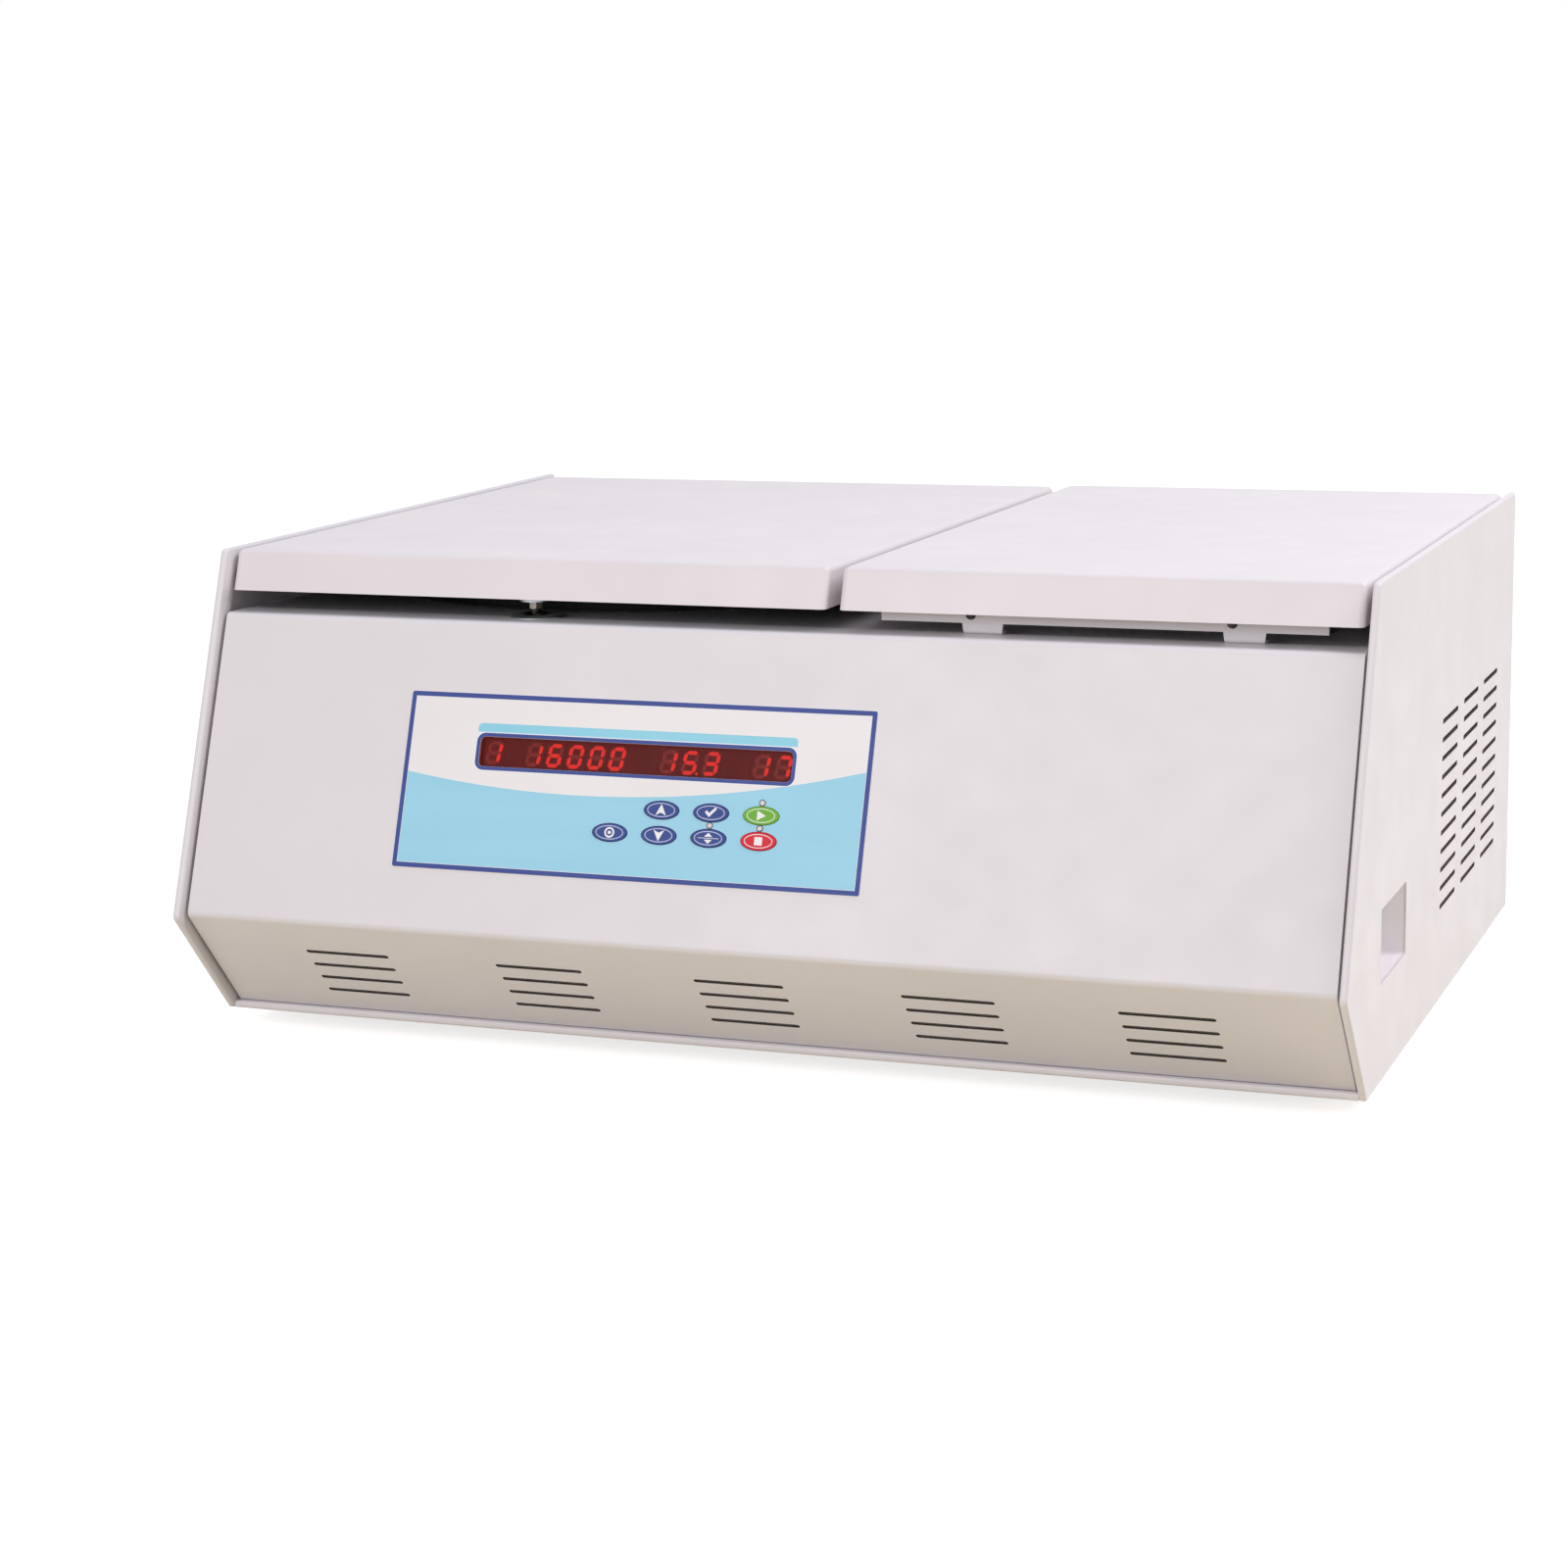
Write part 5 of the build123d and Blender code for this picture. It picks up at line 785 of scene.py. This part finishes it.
def display_spacers():
    """Black cards between the groups of LED modules, so that nothing pale shows behind the
    window."""
    half = MODULE_WIDTH / 2 + MODULE_GAP
    groups = [(start - half, start + half + (len(digits) - 1) * DIGIT_PITCH)
              for start, digits in READING]
    shapes = []
    for (_, left), (right, _) in zip(groups, groups[1:]):
        card = rounded(left, DIGIT_MIDDLE - CARD_HALF, right, DIGIT_MIDDLE + CARD_HALF,
                       CARD_ROUND, 2)
        shapes.append((prism, card, MODULE_FACE - CARD_DEPTH, MODULE_FACE))
    printed("display_spacers", shapes, module_face)


# ================================================================ small turned and cut pieces
STRIKER_PLATE, STRIKER_BORE = 1.5, 3.02     # its thickness under the lid; radius inside the washer
WASHER_HEIGHT, WASHER_RADIUS = 2.0, 9.0
NUT_HEIGHT, NUT_APOTHEM, NUT_CHAMFER = 4.5, 3.5, 0.3
NUT_ROUND = 1.04                # radius of the chamfers' circle, in apothems
LIP_GAP, LIP_LIFT = 0.05, 0.02  # rubber lip: from the gasket, and over the rim
LIP_HEIGHT, LIP_DROP = 0.5, -1.1            # its top and its lower edge, from the rim
LIP_INNER, LIP_OUTER = 0.1, 0.5             # its fold, outside the rim
CLAW_RADII = (6.6, 4.0)         # latch claw: outer and inner radius
CLAW_FROM, CLAW_TO = -62, 242   # degrees, with 270 straight ahead
CLAW_SUNK, CLAW_HEIGHT = 0.05, 1.2
CLAW_STEPS = 60
SHEET = 1.55                    # front panel's sheet, with a little clearance
FOLD_AHEAD, FOLD_BEHIND, FOLD_DROP = 3.5, 9.0, -1.8     # corner fold: its hook under the deck
FOLD_REACH, FOLD_DEPTH = 14.0, 9.0          # corner fold: how far it goes down and back
FOLD_SHEET, FOLD_INSET = 1.3, 0.1           # corner fold: its thickness, and from the panel's side
SCREW_RADIUS, SCREW_RISE = 3.0, 1.6
SCREW_SOCKET, SCREW_FLOOR = 0.38, 0.3       # socket's apothem and floor, as shares of those two
SCREW_BEND = 0.9                # turn of the head's radius, in radians, from its edge to its top
SCREW_STEPS = 48
REAR_INSET, REAR_SHARES = 6.0, (0.12, 0.5, 0.88)        # rear panel: from its sides, and of height
PAN_INSET, PAN_SHARES = 5.0, (0.3, 0.6, 0.9)            # base pan: from its sides, and of depth


def hexagon(turn, apothem):
    """Radius of a hexagon at an angle: apothem / cos(angle from the middle of the nearest flat)."""
    return apothem / np.cos(np.mod(turn, np.pi / 3) - np.pi / 6)


def rings_round(rings, steps):
    """Points of rings round an axis: each a radius, or one for every step, and a height."""
    turn = full_turn(steps)
    return np.vstack([np.column_stack([radius * np.cos(turn), radius * np.sin(turn),
                                       np.full(steps, height)]) for radius, height in rings])


def upright_ring(name, middle, rings, finish, body, steps=96):
    """Ring round an upright axis: a closed profile of radii and heights carried round it."""
    points = np.array(middle) + rings_round(rings, steps) * MM
    faces = walls(len(rings), steps, closed=True)
    mesh_piece(name, points, faces, finish, body)


def screw(name, middle, out):
    """Button-head screw with a six-sided socket. From its edge to its top, t from 0 to 1, the
    head's radius is radius * cos(bend * t) and its height is rise * sin(t of a quarter turn)."""
    share = np.linspace(0, 1, 7)
    head = [(SCREW_RADIUS * np.cos(t * SCREW_BEND), SCREW_RISE * np.sin(t * np.pi / 2))
            for t in share]
    socket = hexagon(full_turn(SCREW_STEPS), SCREW_SOCKET * SCREW_RADIUS)
    rings = [*head, (socket, SCREW_RISE), (socket, SCREW_FLOOR * SCREW_RISE)]
    out = Vector(out)
    side = out.orthogonal().normalized()
    axes = np.array([side, out.cross(side), out])
    points = np.array(middle) + rings_round(rings, SCREW_STEPS) @ axes * MM
    faces = filled(len(rings), SCREW_STEPS)
    mesh_piece(name, points, faces, zinc, "cabinet")


def striker_fixings():
    """Washer and hexagon lock nut on the striker, under its plate. The nut's corners are cut to a
    circle at both ends for the chamfers."""
    low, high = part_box("lid_striker")
    seat = Vector(((low.x + high.x) / 2, (low.y + high.y) / 2, high.z - STRIKER_PLATE * MM))
    washer = [(STRIKER_BORE, -WASHER_HEIGHT), (WASHER_RADIUS, -WASHER_HEIGHT),
              (WASHER_RADIUS, 0.0), (STRIKER_BORE, 0.0)]
    flats = hexagon(full_turn(96), NUT_APOTHEM)
    chamfered = np.minimum(flats, NUT_APOTHEM * NUT_ROUND)
    top, foot = -WASHER_HEIGHT, -WASHER_HEIGHT - NUT_HEIGHT
    nut = [(STRIKER_BORE, foot), (chamfered, foot), (flats, foot + NUT_CHAMFER),
           (flats, top - NUT_CHAMFER), (chamfered, top), (STRIKER_BORE, top)]
    upright_ring("striker_washer", seat, washer, galvanised, "lid")
    upright_ring("striker_nut", seat, nut, nut_steel_painted_shade, "lid")


def gasket_lip():
    """Rubber lip round the chamber's rim: a profile that covers the steel outside the gasket and folds over its
    edge, carried round the bowl's axis. It is painted shade: black rubber over the rim keeps the gap under the lid
    dark where the steel would reflect light."""
    low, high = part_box("chamber_bowl")
    seat = Vector(((low.x + high.x) / 2, (low.y + high.y) / 2, high.z))
    rim = (high.x - low.x) / 2 / MM
    gasket = (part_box("chamber_gasket")[1].x - seat.x) / MM
    profile = [(rim + LIP_INNER, LIP_LIFT), (rim + LIP_INNER, LIP_DROP),
               (rim + LIP_OUTER, LIP_DROP), (rim + LIP_OUTER, LIP_HEIGHT),
               (gasket + LIP_GAP, LIP_HEIGHT), (gasket + LIP_GAP, LIP_LIFT)]
    # painted shade: the black lip hides the bright steel rim in the gap under the lid
    upright_ring("gasket_lip", seat, profile, rubber, "cabinet", steps=256)


def lock_claw():
    """Latch plate on the lock's collar, round the striker and open in front: the arc between two
    radii, with flat ends, carried up."""
    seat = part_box("lid_lock")[1].z
    low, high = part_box("lid_striker")
    turn = np.linspace(radians(CLAW_FROM), radians(CLAW_TO), CLAW_STEPS)
    arc = np.column_stack([np.cos(turn), np.sin(turn)])
    outer, inner = CLAW_RADII
    outline = np.vstack([arc * outer, arc[::-1] * inner]) * MM
    outline += ((low.x + high.x) / 2, (low.y + high.y) / 2)
    count = len(outline)
    points = np.vstack([np.column_stack([outline, np.full(count, seat + height * MM)])
                        for height in (-CLAW_SUNK, CLAW_HEIGHT)])
    here = np.arange(CLAW_STEPS)
    across = count - 1 - here
    caps = np.column_stack([here[:-1], here[1:], across[1:], across[:-1]])
    faces = [*map(tuple, caps[:, ::-1]), *map(tuple, caps + count), *walls(2, count)]
    mesh_piece("lock_claw", points, faces, black_steel, "cabinet")


def corner_folds():
    """Closes the front panel's two upper corners behind its face, between the side fold and the
    deck: a six-cornered plate in the plane of the side fold, a little thinner than it, carried
    across."""
    low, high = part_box("front_panel")
    face = OVERLAY_CORNER - OUT * (OVERLAY_SHEET + SHEET) * MM

    def on_face(below):
        """The point on the inside of the panel's face that is so far below its top."""
        return face + UP * ((high.z - below * MM - face.z) / UP.z)

    upper, lower = on_face(SHEET), on_face(FOLD_REACH)
    ahead, behind = BEHIND * FOLD_AHEAD * MM, BEHIND * FOLD_BEHIND * MM
    drop = ABOVE * FOLD_DROP * MM
    plate = [lower - OUT * FOLD_DEPTH * MM, upper + behind + drop, upper + ahead + drop,
             upper + ahead, upper, lower]
    outline = np.array([(point.y, point.z) for point in plate])
    count = len(outline)
    for name, x in (("left_corner_fold", low.x + FOLD_INSET * MM),
                    ("right_corner_fold", high.x - (FOLD_SHEET + FOLD_INSET) * MM)):
        points = np.vstack([np.column_stack([np.full(count, x + lift), outline])
                            for lift in (0.0, FOLD_SHEET * MM)])
        mesh_piece(name, points, filled(2, count), front_coat, "cabinet")


def rear_screws():
    """Six screws that hold the rear panel, in two columns near its side edges."""
    low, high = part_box("rear_panel")
    for i, x in enumerate((low.x + REAR_INSET * MM, high.x - REAR_INSET * MM)):
        for j, share in enumerate(REAR_SHARES):
            middle = (x, high.y, low.z + share * (high.z - low.z))
            screw(f"rear_panel_screw_{i}{j}", middle, BEHIND)


def pan_screws():
    """Six screws through the base pan into the side panels' flanges, in two rows."""
    low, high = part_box("base_pan")
    for i, x in enumerate((low.x + PAN_INSET * MM, high.x - PAN_INSET * MM)):
        for j, share in enumerate(PAN_SHARES):
            middle = (x, low.y + share * (high.y - low.y), low.z)
            screw(f"base_pan_screw_{i}{j}", middle, -ABOVE)


border_print()
field_print()
window_print()
key_prints()
digit_prints()
display_spacers()
light_rims()
gasket_lip()
striker_fixings()
lock_claw()
corner_folds()
rear_screws()
pan_screws()


# ================================================================ floor, light, camera: in metres
COOL = (0.93, 0.925, 1.0)       # daylight lamps, so that the coat's shadows look warm beside them
WHITE = (1.0, 1.0, 1.0, 1.0)
FLOOR_HALF = 4.0
FLOOR_WHITE, FLOOR_GLOW = (0.8, 0.8, 0.8, 1.0), 0.7     # floor as seen: white but for a shadow
FLOOR_WARM = "#d8cbaa"          # floor as it lights the object's underside
SOFT_LIGHT = 0.57               # strength of the light from all round
LAMP_AIM = (0.0, 0.0, 0.15)
CAMERA_AZIMUTH, CAMERA_ELEVATION, CAMERA_ROLL = radians(20.79), radians(10.82), radians(-1.01)
CAMERA_PLACE = (0.6558, -1.6259, 0.5105)        # from the cabinet's foremost edge in depth
CAMERA_LENS, CAMERA_SENSOR = 76.225, 36.0       # millimetres


def seen_directly(tree):
    """1 for what the camera sees, also in a reflection or through glass, and 0 for soft light."""
    ray = add(tree, "LightPath")
    seen = ray.outputs["Is Camera Ray"]
    for kind in ("Is Glossy Ray", "Is Transmission Ray"):
        total = add(tree, "Math", {0: seen, 1: ray.outputs[kind]}, operation="ADD", use_clamp=True)
        seen = total.outputs[0]
    return seen


def studio_floor():
    """Pale floor: white where it is seen but for the object's shadow, and warm to soft light."""
    mesh = bpy.data.meshes.new("studio_floor")
    corners = np.array([(-1, -1, 0), (1, -1, 0), (1, 1, 0), (-1, 1, 0)]) * FLOOR_HALF
    mesh.from_pydata(corners, [], [(0, 1, 2, 3)])
    floor = bpy.data.objects.new("studio_floor", mesh)
    bpy.context.scene.collection.objects.link(floor)
    made = bpy.data.materials.new("studio_floor")
    made.use_nodes = True
    tree = made.node_tree
    tree.nodes.clear()
    white = add(tree, "BsdfDiffuse", {"Color": FLOOR_WHITE})
    glow = add(tree, "Emission", {"Color": WHITE, "Strength": FLOOR_GLOW})
    sheet = add(tree, "AddShader", {0: white.outputs[0], 1: glow.outputs[0]})
    warm = add(tree, "BsdfDiffuse", {"Color": linear(FLOOR_WARM)})
    shown = {0: seen_directly(tree), 1: warm.outputs[0], 2: sheet.outputs[0]}
    mixed = add(tree, "MixShader", shown)
    add(tree, "OutputMaterial", {"Surface": mixed.outputs[0]})
    mesh.materials.append(made)


def studio_world():
    """White behind the object, soft light on it."""
    world = bpy.data.worlds.new("studio_world")
    bpy.context.scene.world = world
    world.use_nodes = True
    tree = world.node_tree
    tree.nodes.clear()
    soft = add(tree, "Background", {"Color": (*COOL, 1.0), "Strength": SOFT_LIGHT})
    white = add(tree, "Background", {"Color": WHITE, "Strength": 1.0})
    shown = {0: seen_directly(tree), 1: soft.outputs[0], 2: white.outputs[0]}
    mixed = add(tree, "MixShader", shown)
    add(tree, "OutputWorld", {"Surface": mixed.outputs[0]})


def soft_box(name, place, size, power):
    """Square area lamp that looks at the middle of the object."""
    light = bpy.data.lights.new(name, "AREA")
    light.size = size
    light.energy = power
    light.color = COOL
    lamp = bpy.data.objects.new(name, light)
    bpy.context.scene.collection.objects.link(lamp)
    lamp.location = place
    lamp.rotation_euler = (Vector(LAMP_AIM) - Vector(place)).to_track_quat("-Z", "Y").to_euler()


def studio_camera():
    """Camera in front, to the right and a little above, with its own small roll. It looks from
    (sin azimuth cos elevation, -cos azimuth cos elevation, sin elevation)."""
    level = cos(CAMERA_ELEVATION)
    back = Vector((sin(CAMERA_AZIMUTH) * level, -cos(CAMERA_AZIMUTH) * level,
                   sin(CAMERA_ELEVATION)))
    right = (-back).cross(ABOVE).normalized()
    up = right.cross(-back)
    right, up = (right * cos(CAMERA_ROLL) + up * sin(CAMERA_ROLL),
                 up * cos(CAMERA_ROLL) - right * sin(CAMERA_ROLL))
    data = bpy.data.cameras.new("studio_camera")
    data.lens = CAMERA_LENS
    data.sensor_width = CAMERA_SENSOR
    camera = bpy.data.objects.new("studio_camera", data)
    bpy.context.scene.collection.objects.link(camera)
    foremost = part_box("left_side_panel")[0].y
    place = Vector(CAMERA_PLACE) + BEHIND * foremost
    camera.matrix_world = (Matrix.Translation(place)
                           @ Matrix((right, up, back)).transposed().to_4x4())
    bpy.context.scene.camera = camera


studio_floor()
studio_world()
soft_box("key_light", place=(1.3, 0.1, 1.7), size=1.0, power=20.4)
soft_box("fill_light", place=(-0.6, -2.6, 1.3), size=1.4, power=25.8)
studio_camera()
bpy.context.scene.view_settings.view_transform = "Standard"
